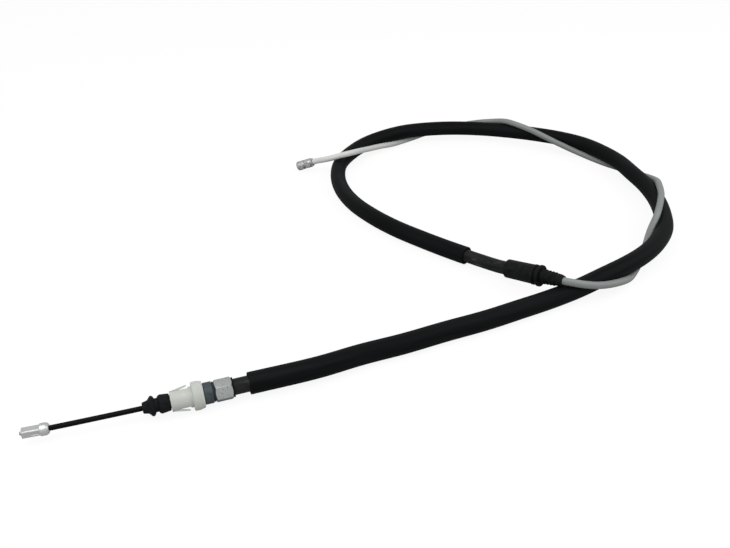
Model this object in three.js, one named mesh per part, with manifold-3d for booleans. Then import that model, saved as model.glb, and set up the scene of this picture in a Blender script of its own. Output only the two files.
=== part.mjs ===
// Parking brake cable, lying as a loose loop with its free lever tail wound round the sleeve.
// Millimetres, +Z up, the floor at z = 0. The brake end is at -X, the far side of the loop at +Y.

import * as THREE from 'three';
import { mergeVertices } from 'three/addons/utils/BufferGeometryUtils.js';
import Module from 'manifold-3d';

const wasm = await Module();
wasm.setup();

// Clearances between pieces
const SEAT_GAP = 0.3;
const LAYER_GAP = 0.35;
const WRAP_CLEARANCE = 0.7;
const FLOOR_CLEARANCE = 0.1;

// Protective sleeve and the conduit inside it, from the outside in
const SLEEVE_D = 16;
const SLEEVE_WALL = 1.5;
const CONDUIT_D = 11.6;
const JACKET_WALL = 0.95;
const ARMOUR_WALL = 1.05;
const LINER_WALL = 0.75;
const ROPE_D = 2.5;
const SLEEVE_SIDES = 10;
const LAYER_SIDES = 8;

// Sheathed tail at the lever end
const TAIL_D = 6.2;
const TAIL_WALL = 1.35;
const TAIL_SIDES = 8;

// Brake end, in the order in which the pieces follow each other away from the sleeve
const CONDUIT_SHOWN = 10.7;
const SEAL_D = 14.2;
const SEAL_LENGTH = 0.9;
const HEX_ACROSS_FLATS = 14.3;
const HEX_LENGTH = 12.1;
const HEX_CHAMFER = 0.9;
const HEX_TURN = 52.7;
const CONDUIT_GRIP = 10.5;
const NECK_D = 9;
const SPACER_D = 15.3;
const SPACER_LENGTH = 6;
const CLIP_BODY_D = 14.5;
const CLIP_BODY_LENGTH = 14.8;
const CLIP_FLANGE_D = 20.2;
const CLIP_FLANGE_LENGTH = 7.5;
const CLIP_FLANGE_EDGE = 0.8;
const FINGER_WIDTH = 6;
const FINGER_LENGTH = 11.4;
const FINGER_THICKNESS = 1.1;
const FINGER_RISE = 1.8;
const FINGER_ROOT = 4;
const FINGER_SLOT = 0.9;
const CLIP_TURN = 49;
const BOOT_BARREL_D = 13.3;
const BOOT_BARREL_LENGTH = 8.2;
const BOOT_GROOVE_D = 9.6;
const BOOT_GROOVE_LENGTH = 2;
const BOOT_BEAD_D = 14.1;
const BOOT_BEAD_LENGTH = 4.1;
const BOOT_LIP_D = 7.9;
const BOOT_LIP_LENGTH = 4.2;
const BOOT_SEAT = 5.5;
const COAT_D = 3.7;
const STUB_SHOWN = 59.4;
const STUB_BEND = 1.9;
const STUB_HIDDEN_END = -6;
const BLOCK_WIDTH = 5.6;
const BLOCK_SHANK = 11.4;
const BLOCK_CHAMFER = 0.5;
const BLOCK_HEAD_D = 8.6;
const BLOCK_HEAD_LENGTH = 3.2;
const BLOCK_NOSE_D = 5.8;
const BLOCK_NOSE_LENGTH = 2.5;
const BLOCK_POCKET_LENGTH = 5.2;
const BLOCK_POCKET_WIDTH = 2.6;
const BLOCK_POCKET_DEPTH = 0.5;
const ROPE_PROUD = 1.6;

// Lever end, in the order in which the pieces follow each other away from the sleeve
const HOUSING_D = 16;
const HOUSING_RIM_D = 17.3;
const HOUSING_RIM_LENGTH = 2;
const HOUSING_LENGTH = 27.8;
const HOUSING_MOUTH = 3;
const CONDUIT_DEPTH = 18;
const CRIMP_LENGTH = 13;
const CRIMP_WALL = 0.8;
const CLIP_GROOVE_D = 13;
const CLIP_GROOVE_LENGTH = 2.5;
const SPIGOT_D = 9.2;
const SPIGOT_LENGTH = 7.6;
const RING_D = 18.2;
const RING_LENGTH = 2.2;
const BELLOWS_D = 11.4;
const BELLOWS_NOSE_D = 10.4;
const BELLOWS_TIP_D = 8.2;
const BELLOWS_WAIST_D = 9.4;
const BELLOWS_RIBS = 4;
const RIB_PITCH = 2.9;
const RIB_HEIGHT = 0.6;
const BELLOWS_COLLAR = 2.2;
const BELLOWS_NOSE = 3.6;
const BELLOWS_TIP = 2.6;
const SHEATH_HIDDEN = 6;
const DIMPLE_D = 1.8;
const DIMPLE_DEPTH = 0.6;
const DIMPLE_FROM_FACE = 8.1;
const DIMPLE_TURN = -19;

// Nipple on the end of the tail
const NIPPLE_D = 10;
const NIPPLE_LENGTH = 19;
const NIPPLE_GROOVE = 0.7;
const NIPPLE_GROOVE_WIDTH = 1.6;
const NIPPLE_SHOULDER_D = 8.6;
const NIPPLE_SHOULDER = 2.2;
const NIPPLE_SOCKET = 4;
const NIPPLE_RECESS_D = 6.4;
const NIPPLE_RECESS = 1.6;

// Roundness of the turned pieces, and the steps of the swept ones
const TURNED_SIDES = 20;
const CASING_TURN = 9;
const CASING_STEP = 48;
const TAIL_TURN = 12;
const TAIL_STEP = 18;
const STUB_TURN = 2;
const STUB_STEP = 30;
const WALK = 1;

// Route of the sleeve, by hand: [x, y, lift], where a lift of 1 lets the tail pass underneath
const SLEEVE_START = [-122, -209];
const BRAKE_HEADING = 19;
const STRAIGHT_RUN = 50;
const SLEEVE_ROUTE = [
  [-43, -177, 0.1], [-11, -164, 0], [21, -150, 0], [55, -136, 0], [84, -122, 0],
  [111, -109, 0.04], [137, -96, 0.26], [162, -82, 0.64], [184, -69, 0.95], [203, -54, 1.03],
  [221, -34, 0.97], [237, -8, 0.9], [246, 23, 0.87], [250, 54, 0.87], [249, 84, 0.9],
  [244, 111, 0.95], [238, 139, 0.99], [227, 164, 1.02], [212, 188, 0.96], [190, 208, 0.85],
  [162, 223, 0.8], [131, 234, 0.8], [99, 241, 0.84], [67, 243, 0.9], [38, 240, 0.96],
  [10, 232, 1.02], [-14, 220, 0.9], [-36, 208, 0.42], [-53, 187, 0.15], [-65, 159, 0.03],
  [-67, 125, 0], [-61, 92, 0], [-49, 63, 0], [-31, 36, 0], [-10, 12, 0],
  [12, -8, 0], [33, -26, 0.04], [51, -41, 0.14],
];

// Axis of the lever end: where the housing's face is, and which way the rope leaves
const HOUSING_FACE = [83, -68, 12.4];
const LEVER_HEADING = -42;
const LEVER_TILT = 10.3;

// Winding of the tail round the sleeve, by hand: [distance along the sleeve, angle round it].
// 0 degrees is the outer side of the loop, 90 the top, and it turns down the outer side.
const TAIL_WRAP = [
  [280, 56], [291, 29], [303, 6], [314, -12], [326, -32], [338, -59], [350, -84], [366, -109],
  [385, -136], [398, -157], [410, -181], [424, -212], [440, -235], [459, -257], [471, -271],
  [483, -283], [494, -296], [506, -319], [517, -341], [529, -360], [547, -386], [567, -415],
  [581, -435], [593, -451], [605, -466], [617, -482], [629, -498], [641, -515], [662, -543],
  [685, -578], [709, -616], [721, -645], [733, -673], [756, -702], [782, -732], [800, -752],
  [816, -772], [830, -794], [845, -815], [857, -834], [868, -853], [878, -869], [888, -881],
  [900, -894], [911, -908],
];
const WRAP_STEP = 8;

// Free end of the tail: it comes down off the sleeve to the nipple, which rests on its far rim
const TAIL_FREE = [
  [-55.3, 159.4, 20.3], [-65.2, 154.4, 20], [-73, 152.9, 18.4], [-81.5, 153.9, 16],
];
const NIPPLE_FACE = [-95.5, 158.5];
const NIPPLE_HEADING = 171;
const NIPPLE_TILT = -19.5;
const NIPPLE_LEAD = 4;

const RADIANS = Math.PI / 180;

// Materials
function finish(color, roughness, metalness) {
  return new THREE.MeshStandardMaterial({ color, roughness, metalness });
}

const blackSleeve = finish(0x17191a, 0.62, 0);
const blackPlastic = finish(0x1d1f20, 0.45, 0);
const blackRubber = finish(0x151617, 0.75, 0);
const greySheath = finish(0x8f9694, 0.5, 0);
const naturalNylon = finish(0xc6c8bf, 0.4, 0);
const slatePlastic = finish(0x4c555a, 0.5, 0);
const zincPlate = finish(0xc9cccb, 0.3, 1);
const dieCastZinc = finish(0xa8acaa, 0.45, 1);
const steelWire = finish(0x8a8d8e, 0.35, 1);
const linerPlastic = finish(0xe6e6df, 0.5, 0);

// Solids: joining and cutting closed meshes
function solidOf(geometry) {
  const bare = geometry.clone();
  bare.deleteAttribute('normal');
  bare.deleteAttribute('uv');
  const merged = mergeVertices(bare, 1e-4);
  const triangles = [];
  const index = merged.index.array;
  for (let i = 0; i < index.length; i += 3) {
    const [a, b, c] = [index[i], index[i + 1], index[i + 2]];
    if (a !== b && b !== c && c !== a) {
      triangles.push(a, b, c);
    }
  }
  return new wasm.Manifold(new wasm.Mesh({
    numProp: 3,
    vertProperties: new Float32Array(merged.attributes.position.array),
    triVerts: new Uint32Array(triangles),
  }));
}

function geometryOf(solid) {
  const mesh = solid.getMesh();
  const geometry = new THREE.BufferGeometry();
  geometry.setAttribute('position', new THREE.BufferAttribute(mesh.vertProperties, 3));
  geometry.setIndex(new THREE.BufferAttribute(mesh.triVerts, 1));
  geometry.computeVertexNormals();
  return geometry;
}

// A ring turned about the local X axis. The profile lists [x, radius], outwards on its low-x side.
function turned(profile, sides = TURNED_SIDES) {
  const points = [...profile, profile[0]].map(([x, r]) => new THREE.Vector2(r, x));
  return new THREE.LatheGeometry(points, sides).rotateZ(-Math.PI / 2);
}

function plainRing(from, to, outer, inner, sides = TURNED_SIDES) {
  return turned([[from, inner], [from, outer], [to, outer], [to, inner]], sides);
}

// A rod about the local X axis, for cutting bores
function rod(from, to, radius, sides = TURNED_SIDES) {
  const length = to - from;
  return new THREE.CylinderGeometry(radius, radius, length, sides)
    .rotateZ(-Math.PI / 2)
    .translate(from + length / 2, 0, 0);
}

function polygon(radius, sides) {
  return Array.from({ length: sides }, (_, i) => new THREE.Vector2(
    radius * Math.cos((2 * Math.PI * i) / sides),
    radius * Math.sin((2 * Math.PI * i) / sides),
  ));
}

// A flat outline in the local XZ plane, given as [x, z], made width thick about y = 0
function plateAcross(outline, width) {
  const shape = new THREE.Shape(outline.map(([x, z]) => new THREE.Vector2(x, z)));
  return new THREE.ExtrudeGeometry(shape, { depth: width, bevelEnabled: false })
    .rotateX(Math.PI / 2)
    .translate(0, width / 2, 0);
}

// Sweeping along a list of stops, each a point with the curve's own direction there
class StopPath extends THREE.Curve {
  constructor(stops) {
    super();
    this.stops = stops;
  }

  getPoint(t, target = new THREE.Vector3()) {
    return target.copy(this.stops[Math.round(t * (this.stops.length - 1))].point);
  }

  getPointAt(u, target) {
    return this.getPoint(u, target);
  }

  getTangentAt(u, target = new THREE.Vector3()) {
    return target.copy(this.stops[Math.round(u * (this.stops.length - 1))].direction);
  }
}

function tubeAlong(stops, outer, inner, sides, innerSides = sides) {
  const shape = new THREE.Shape(polygon(outer, sides));
  if (inner > 0) {
    shape.holes.push(new THREE.Path(polygon(inner, innerSides)));
  }
  return new THREE.ExtrudeGeometry(shape, {
    steps: stops.length - 1,
    extrudePath: new StopPath(stops),
    bevelEnabled: false,
  });
}

function smoothCurve(points) {
  const curve = new THREE.CatmullRomCurve3(points, false, 'centripetal');
  curve.arcLengthDivisions = (points.length - 1) * 24;
  return curve;
}

function distanceToPoint(curve, pointIndex) {
  return curve.getLengths()[pointIndex * 24];
}

function stopAt(curve, distance) {
  const u = THREE.MathUtils.clamp(distance / curve.getLength(), 0, 1);
  return { distance, point: curve.getPointAt(u), direction: curve.getTangentAt(u) };
}

// Stops from one distance to another, closer together where the curve turns
function stopsBetween(curve, from, to, maxTurn, maxStep, fixed = []) {
  const stops = [stopAt(curve, from)];
  const wanted = fixed.filter((distance) => distance > from + WALK && distance < to - WALK);
  for (let distance = from + WALK; distance < to - WALK; distance += WALK) {
    const last = stops[stops.length - 1];
    const here = stopAt(curve, distance);
    const turn = here.direction.angleTo(last.direction) / RADIANS;
    if (wanted.length && distance + WALK > wanted[0]) {
      stops.push(stopAt(curve, wanted.shift()));
    } else if (turn > maxTurn || distance - last.distance > maxStep) {
      stops.push(here);
    }
  }
  stops.push(stopAt(curve, to));
  return stops;
}

// The part of a list of stops between two distances, with its two ends added
function clipStops(curve, stops, from, to) {
  const inside = stops.filter((stop) => stop.distance > from + WALK && stop.distance < to - WALK);
  return [stopAt(curve, from), ...inside, stopAt(curve, to)];
}

function place(group, position, headingDegrees, tiltDegrees) {
  group.position.copy(position);
  group.rotation.set(0, -tiltDegrees * RADIANS, headingDegrees * RADIANS, 'ZYX');
  group.updateMatrixWorld(true);
  return group;
}

function piece(name, geometry, material) {
  const mesh = new THREE.Mesh(geometry, material);
  mesh.name = name;
  return mesh;
}

// Radii that several pieces share
const sleeveR = SLEEVE_D / 2;
const conduitR = CONDUIT_D / 2;
const jacketBoreR = conduitR - JACKET_WALL;
const armourR = jacketBoreR - LAYER_GAP;
const armourBoreR = armourR - ARMOUR_WALL;
const linerR = armourBoreR - LAYER_GAP;
const linerBoreR = linerR - LINER_WALL;
const ropeR = ROPE_D / 2;
const coatR = COAT_D / 2;
const coatBoreR = ropeR + SEAT_GAP;
const tailR = TAIL_D / 2;
const neckR = NECK_D / 2;
const neckBoreR = linerR + LAYER_GAP;
const onNeckR = neckR + SEAT_GAP;
const conduitSocketR = conduitR + LAYER_GAP;
const wrapR = sleeveR + WRAP_CLEARANCE + tailR;
const liftHeight = TAIL_D + WRAP_CLEARANCE + FLOOR_CLEARANCE;

// Places along the brake-end axis: x = 0 is the sleeve's end face, and the pieces follow towards -X
const rearSealX = -CONDUIT_SHOWN;
const hexRightX = rearSealX - SEAL_LENGTH - SEAT_GAP;
const hexLeftX = hexRightX - HEX_LENGTH;
const conduitStartX = hexRightX - CONDUIT_GRIP;
const frontSealX = hexLeftX - SEAT_GAP;
const spacerX = frontSealX - SEAL_LENGTH - SEAT_GAP;
const clipRightX = spacerX - SPACER_LENGTH - SEAT_GAP;
const clipFaceX = clipRightX - CLIP_FLANGE_LENGTH;
const clipLeftX = clipFaceX - CLIP_BODY_LENGTH;
const bootRightX = clipLeftX - SEAT_GAP;
const grooveRightX = bootRightX - BOOT_BARREL_LENGTH;
const beadRightX = grooveRightX - BOOT_GROOVE_LENGTH;
const lipRightX = beadRightX - BOOT_BEAD_LENGTH;
const bootLeftX = lipRightX - BOOT_LIP_LENGTH;
const neckLeftX = bootRightX - BOOT_SEAT;

// Places along the end block: x = 0 is its nose, where the coated rope enters
const blockHeadX = -BLOCK_NOSE_LENGTH;
const blockShankX = blockHeadX - BLOCK_HEAD_LENGTH;
const blockLeftX = blockShankX - BLOCK_SHANK;

// Places along the lever-end axis: x = 0 is the housing's face, and the pieces follow towards +X
const grooveEndX = HOUSING_LENGTH + CLIP_GROOVE_LENGTH;
const ringX = grooveEndX + SEAT_GAP;
const bellowsX = ringX + RING_LENGTH + SEAT_GAP;
const ribsX = bellowsX + BELLOWS_COLLAR;
const noseX = ribsX + BELLOWS_RIBS * RIB_PITCH;
const tipX = noseX + BELLOWS_NOSE;
const bellowsEndX = tipX + BELLOWS_TIP;
const spigotEndX = grooveEndX + SPIGOT_LENGTH;

// Frames of the two ends
const brakeAxisHeight = CLIP_FLANGE_D / 2;
const brakeOrigin = new THREE.Vector3(...SLEEVE_START, brakeAxisHeight);
const brakeEnd = place(new THREE.Group(), brakeOrigin, BRAKE_HEADING, 0);
const leverEnd = place(
  new THREE.Group(),
  new THREE.Vector3(...HOUSING_FACE),
  LEVER_HEADING,
  LEVER_TILT,
);
const nippleRestHeight = NIPPLE_LENGTH * Math.sin(-NIPPLE_TILT * RADIANS)
  + (NIPPLE_D / 2) * Math.cos(NIPPLE_TILT * RADIANS);
const tailEnd = place(
  new THREE.Group(),
  new THREE.Vector3(...NIPPLE_FACE, nippleRestHeight),
  NIPPLE_HEADING,
  NIPPLE_TILT,
);

function onAxis(group, x) {
  return group.localToWorld(new THREE.Vector3(x, 0, 0));
}

// The coated stub bends a little on its way from the boot to the block
const bootLip = onAxis(brakeEnd, bootLeftX);
const stubChord = new THREE.Vector3(-STUB_SHOWN, 0, 0)
  .applyAxisAngle(new THREE.Vector3(0, 0, 1), (BRAKE_HEADING - STUB_BEND) * RADIANS);
const blockEnd = place(
  new THREE.Group(),
  bootLip.clone().add(stubChord),
  BRAKE_HEADING - 2 * STUB_BEND,
  0,
);
const stubPoints = [
  onAxis(blockEnd, blockLeftX - ROPE_PROUD),
  onAxis(blockEnd, 0),
  bootLip,
  onAxis(brakeEnd, bootLeftX + BOOT_LIP_LENGTH),
  onAxis(brakeEnd, STUB_HIDDEN_END),
];
const stubCurve = smoothCurve(stubPoints);
const coatStartAt = distanceToPoint(stubCurve, 1) + SEAT_GAP;
const stubEndAt = stubCurve.getLength();

// The casing's curve, from inside the boot to the tip of the bellows
const leadIn = 2 * STRAIGHT_RUN;
const casingPoints = [
  onAxis(brakeEnd, -leadIn),
  onAxis(brakeEnd, -STRAIGHT_RUN),
  onAxis(brakeEnd, 0),
  onAxis(brakeEnd, STRAIGHT_RUN),
  ...SLEEVE_ROUTE.map(([x, y, lift]) => new THREE.Vector3(x, y, sleeveR + lift * liftHeight)),
];
const sleeveEndIndex = casingPoints.length - 1;
casingPoints.push(
  onAxis(leverEnd, -HOUSING_MOUTH * 3),
  onAxis(leverEnd, 0),
  onAxis(leverEnd, CONDUIT_DEPTH),
  onAxis(leverEnd, bellowsEndX),
);
const casingCurve = smoothCurve(casingPoints);
const sleeveEndAt = distanceToPoint(casingCurve, sleeveEndIndex);
const mouthAt = distanceToPoint(casingCurve, sleeveEndIndex + 2);
const conduitEndAt = mouthAt + CONDUIT_DEPTH;
const casingEndAt = casingCurve.getLength();
const casingStops = stopsBetween(casingCurve, 0, casingEndAt, CASING_TURN, CASING_STEP, [
  leadIn,
  sleeveEndAt,
  distanceToPoint(casingCurve, sleeveEndIndex + 1),
  mouthAt,
]);

// The tail's curve: out of the bellows, round the sleeve, and down to the nipple
function wrapPoint(distance, angleDegrees) {
  const { point, direction } = stopAt(casingCurve, leadIn + distance);
  const outward = new THREE.Vector3().crossVectors(direction, new THREE.Vector3(0, 0, 1)).normalize();
  const upward = new THREE.Vector3().crossVectors(outward, direction);
  const angle = angleDegrees * RADIANS;
  return point
    .addScaledVector(outward, wrapR * Math.cos(angle))
    .addScaledVector(upward, wrapR * Math.sin(angle));
}

function wrapPoints() {
  const guide = smoothCurve(TAIL_WRAP.map(([distance, angle]) => new THREE.Vector3(distance, angle, 0)));
  const turns = Math.ceil(guide.getLength() / (WRAP_STEP * 2));
  return guide.getSpacedPoints(turns).map(({ x, y }) => wrapPoint(x, y));
}

const sheathStartX = bellowsEndX - SHEATH_HIDDEN;
const tailPoints = [
  onAxis(leverEnd, sheathStartX - SHEATH_HIDDEN),
  onAxis(leverEnd, sheathStartX),
  onAxis(leverEnd, bellowsEndX),
  ...wrapPoints(),
  ...TAIL_FREE.map((point) => new THREE.Vector3(...point)),
  onAxis(tailEnd, -NIPPLE_LEAD),
  onAxis(tailEnd, 0),
  onAxis(tailEnd, NIPPLE_SOCKET),
  onAxis(tailEnd, NIPPLE_LENGTH),
];
const tailCurve = smoothCurve(tailPoints);
const nippleAt = distanceToPoint(tailCurve, tailPoints.length - 3);
const tailEndAt = tailCurve.getLength();
const tailStops = stopsBetween(tailCurve, 0, tailEndAt, TAIL_TURN, TAIL_STEP, [
  distanceToPoint(tailCurve, 2),
  distanceToPoint(tailCurve, tailPoints.length - 4),
  nippleAt,
]);

// Casing layers
function casingLayer(name, fromX, toAt, outer, inner, sides, material) {
  const stops = clipStops(casingCurve, casingStops, leadIn + fromX, toAt);
  return piece(name, tubeAlong(stops, outer, inner, sides), material);
}

function casing() {
  return [
    casingLayer('protective_sleeve', 0, sleeveEndAt, sleeveR, sleeveR - SLEEVE_WALL, SLEEVE_SIDES,
      blackSleeve),
    casingLayer('conduit_jacket', conduitStartX, conduitEndAt, conduitR, jacketBoreR, LAYER_SIDES,
      blackPlastic),
    casingLayer('conduit_armour', conduitStartX, conduitEndAt, armourR, armourBoreR, LAYER_SIDES,
      steelWire),
    casingLayer('conduit_liner', neckLeftX, mouthAt + HOUSING_LENGTH, linerR, linerBoreR, LAYER_SIDES,
      linerPlastic),
  ];
}

// The rope runs on from the moving stub, through the casing and the tail, into the nipple
function innerRope() {
  const ropeStart = leadIn + STUB_HIDDEN_END + SEAT_GAP;
  const inCasing = clipStops(casingCurve, casingStops, ropeStart, mouthAt + HOUSING_LENGTH);
  const inTail = clipStops(tailCurve, tailStops, 0, nippleAt + NIPPLE_LENGTH - NIPPLE_RECESS);
  return piece('inner_rope', tubeAlong([...inCasing, ...inTail], ropeR, 0, LAYER_SIDES), steelWire);
}

// Brake end, moving with the rope
function endBlock() {
  const half = BLOCK_WIDTH / 2;
  const cut = half - BLOCK_CHAMFER;
  const section = new THREE.Shape([
    [half, -cut], [half, cut], [cut, half], [-cut, half],
    [-half, cut], [-half, -cut], [-cut, -half], [cut, -half],
  ].map(([y, z]) => new THREE.Vector2(y, z)));
  const shank = new THREE.ExtrudeGeometry(section, { depth: BLOCK_SHANK + 1, bevelEnabled: false })
    .rotateX(Math.PI / 2)
    .rotateZ(Math.PI / 2)
    .translate(blockLeftX, 0, 0);
  const head = turned([
    [blockShankX, ropeR],
    [blockShankX, BLOCK_HEAD_D / 2 - BLOCK_CHAMFER],
    [blockShankX + BLOCK_CHAMFER, BLOCK_HEAD_D / 2],
    [blockHeadX, BLOCK_HEAD_D / 2],
    [blockHeadX / 2, (BLOCK_HEAD_D + BLOCK_NOSE_D) / 4 + BLOCK_CHAMFER],
    [0, BLOCK_NOSE_D / 2],
    [0, ropeR],
  ]);
  let block = solidOf(shank).add(solidOf(head));
  for (const side of [-1, 1]) {
    const pocket = new THREE.BoxGeometry(BLOCK_POCKET_LENGTH, 2 * BLOCK_POCKET_DEPTH, BLOCK_POCKET_WIDTH)
      .translate(blockShankX - BLOCK_POCKET_LENGTH / 2 - BLOCK_CHAMFER, side * half, 0);
    block = block.subtract(solidOf(pocket));
  }
  block = block.subtract(solidOf(rod(blockLeftX - 1, 1, ropeR + SEAT_GAP)));
  return piece('brake_end_block', geometryOf(block), dieCastZinc);
}

function brakeStub() {
  const ropeStops = stopsBetween(stubCurve, 0, stubEndAt, STUB_TURN, STUB_STEP);
  const coatStops = clipStops(stubCurve, ropeStops, coatStartAt, stubEndAt);
  return [
    piece('brake_end_rope', tubeAlong(ropeStops, ropeR, 0, LAYER_SIDES), steelWire),
    piece('brake_end_coat', tubeAlong(coatStops, coatR, coatBoreR, LAYER_SIDES), blackPlastic),
  ];
}

// Brake end, fixed to the casing
function dustBoot() {
  const barrelR = BOOT_BARREL_D / 2;
  const beadR = BOOT_BEAD_D / 2;
  const beadRound = BOOT_BEAD_LENGTH / 4;
  const lipR = BOOT_LIP_D / 2;
  const lipBoreR = coatR + LAYER_GAP;
  const cavityR = BOOT_GROOVE_D / 2 - 1.2;
  const cavityX = lipRightX - 1;
  const boot = turned([
    [bootLeftX, lipBoreR],
    [bootLeftX, lipR - 0.6],
    [bootLeftX + 0.6, lipR],
    [lipRightX - 0.8, lipR + 0.5],
    [lipRightX + beadRound, beadR - beadRound],
    [lipRightX + 1.6 * beadRound, beadR],
    [beadRightX - 1.2 * beadRound, beadR],
    [beadRightX - 0.2, beadR - beadRound],
    [beadRightX, BOOT_GROOVE_D / 2],
    [grooveRightX, BOOT_GROOVE_D / 2],
    [grooveRightX + 0.4, barrelR - 0.9],
    [grooveRightX + 1.6, barrelR],
    [bootRightX - 1, barrelR - 0.7],
    [bootRightX, barrelR - 1],
    [bootRightX, onNeckR],
    [neckLeftX - SEAT_GAP, onNeckR],
    [neckLeftX - SEAT_GAP, cavityR],
    [cavityX, cavityR],
    [cavityX, lipBoreR],
  ]);
  return piece('dust_boot', boot, blackRubber);
}

function snapClip() {
  const bodyR = CLIP_BODY_D / 2;
  const flangeR = CLIP_FLANGE_D / 2;
  const body = turned([
    [clipLeftX, onNeckR],
    [clipLeftX, bodyR - 0.4],
    [clipLeftX + 0.5, bodyR],
    [clipFaceX, bodyR],
    [clipFaceX, flangeR - CLIP_FLANGE_EDGE],
    [clipFaceX + CLIP_FLANGE_EDGE, flangeR],
    [clipFaceX + CLIP_FLANGE_LENGTH / 2, flangeR],
    [clipRightX, flangeR - CLIP_FLANGE_EDGE],
    [clipRightX, onNeckR],
  ], 2 * TURNED_SIDES);
  const rootX = clipLeftX + 0.5;
  const tipX = rootX + FINGER_LENGTH;
  const slotX = rootX + FINGER_ROOT;
  const slotFloorR = bodyR - FINGER_SLOT;
  const slotLength = FINGER_LENGTH - FINGER_ROOT + FINGER_SLOT;
  const rootR = bodyR - 0.2;
  let clip = solidOf(body);
  for (const turn of [0, 180]) {
    const slot = new THREE.BoxGeometry(slotLength, FINGER_WIDTH + 2 * SEAT_GAP, bodyR)
      .translate(slotX + slotLength / 2, 0, slotFloorR + bodyR / 2)
      .rotateX((CLIP_TURN - 90 + turn) * RADIANS);
    const finger = plateAcross([
      [rootX, slotFloorR],
      [slotX + SEAT_GAP, slotFloorR],
      [tipX, bodyR + FINGER_RISE - FINGER_THICKNESS],
      [tipX, bodyR + FINGER_RISE],
      [rootX, rootR],
    ], FINGER_WIDTH).rotateX((CLIP_TURN - 90 + turn) * RADIANS);
    clip = clip.subtract(solidOf(slot)).add(solidOf(finger));
  }
  return piece('snap_clip', geometryOf(clip), naturalNylon);
}

function hexFerrule() {
  const cornerR = HEX_ACROSS_FLATS / Math.sqrt(3);
  const flatR = HEX_ACROSS_FLATS / 2;
  const blank = turned([
    [hexLeftX, ropeR],
    [hexLeftX, flatR - 0.2],
    [hexLeftX + HEX_CHAMFER, cornerR + 0.05],
    [hexRightX - HEX_CHAMFER, cornerR + 0.05],
    [hexRightX, flatR - 0.2],
    [hexRightX, ropeR],
  ], 2 * TURNED_SIDES);
  const prism = rod(hexLeftX - 1, hexRightX + 1, cornerR, 6).rotateX((HEX_TURN + 30) * RADIANS);
  const neck = plainRing(neckLeftX, hexLeftX + 1, neckR, ropeR);
  const socket = rod(conduitStartX - SEAT_GAP, hexRightX + 1, conduitSocketR);
  const neckBore = rod(neckLeftX - 1, hexRightX, neckBoreR);
  const ferrule = solidOf(blank).intersect(solidOf(prism)).add(solidOf(neck))
    .subtract(solidOf(socket)).subtract(solidOf(neckBore));
  return piece('hex_ferrule', geometryOf(ferrule), zincPlate);
}

function brakeFittings() {
  const spacerR = SPACER_D / 2;
  const sealR = SEAL_D / 2;
  return [
    dustBoot(),
    snapClip(),
    piece('spacer_sleeve', turned([
      [spacerX - SPACER_LENGTH, onNeckR],
      [spacerX - SPACER_LENGTH, spacerR - 0.3],
      [spacerX - SPACER_LENGTH + 0.3, spacerR],
      [spacerX - 0.3, spacerR],
      [spacerX, spacerR - 0.3],
      [spacerX, onNeckR],
    ]), slatePlastic),
    piece('front_seal_ring', plainRing(frontSealX - SEAL_LENGTH, frontSealX, sealR, onNeckR), blackRubber),
    hexFerrule(),
    piece('rear_seal_ring', plainRing(rearSealX - SEAL_LENGTH, rearSealX, sealR, conduitSocketR),
      blackRubber),
  ];
}

// Lever end
function leverHousing() {
  const chamberR = conduitR + LAYER_GAP + CRIMP_WALL + 2 * SEAT_GAP;
  const rimX = HOUSING_LENGTH - HOUSING_RIM_LENGTH;
  const rimR = HOUSING_RIM_D / 2;
  const body = turned([
    [0, conduitSocketR],
    [0, HOUSING_D / 2 - 0.5],
    [0.5, HOUSING_D / 2],
    [rimX, rimR - 0.4],
    [rimX, rimR],
    [HOUSING_LENGTH, rimR],
    [HOUSING_LENGTH, CLIP_GROOVE_D / 2],
    [grooveEndX, CLIP_GROOVE_D / 2],
    [grooveEndX, SPIGOT_D / 2],
    [spigotEndX, SPIGOT_D / 2],
    [spigotEndX, neckBoreR],
    [CONDUIT_DEPTH + SEAT_GAP, neckBoreR],
    [CONDUIT_DEPTH + SEAT_GAP, chamberR],
    [HOUSING_MOUTH, chamberR],
    [HOUSING_MOUTH, conduitSocketR],
  ]);
  const surfaceR = HOUSING_D / 2 + (rimR - 0.4 - HOUSING_D / 2) * (DIMPLE_FROM_FACE / rimX);
  const dimple = new THREE.CylinderGeometry(DIMPLE_D / 2, DIMPLE_D / 2, 2 * DIMPLE_DEPTH, LAYER_SIDES)
    .translate(DIMPLE_FROM_FACE, -surfaceR, 0)
    .rotateX(DIMPLE_TURN * RADIANS);
  const housing = solidOf(body).subtract(solidOf(dimple));
  return piece('lever_end_housing', geometryOf(housing), blackPlastic);
}

function crimpFerrule() {
  const boreR = conduitR + LAYER_GAP;
  const from = HOUSING_MOUTH + SEAT_GAP;
  return piece('conduit_crimp', plainRing(from, from + CRIMP_LENGTH, boreR + CRIMP_WALL, boreR), zincPlate);
}

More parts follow.
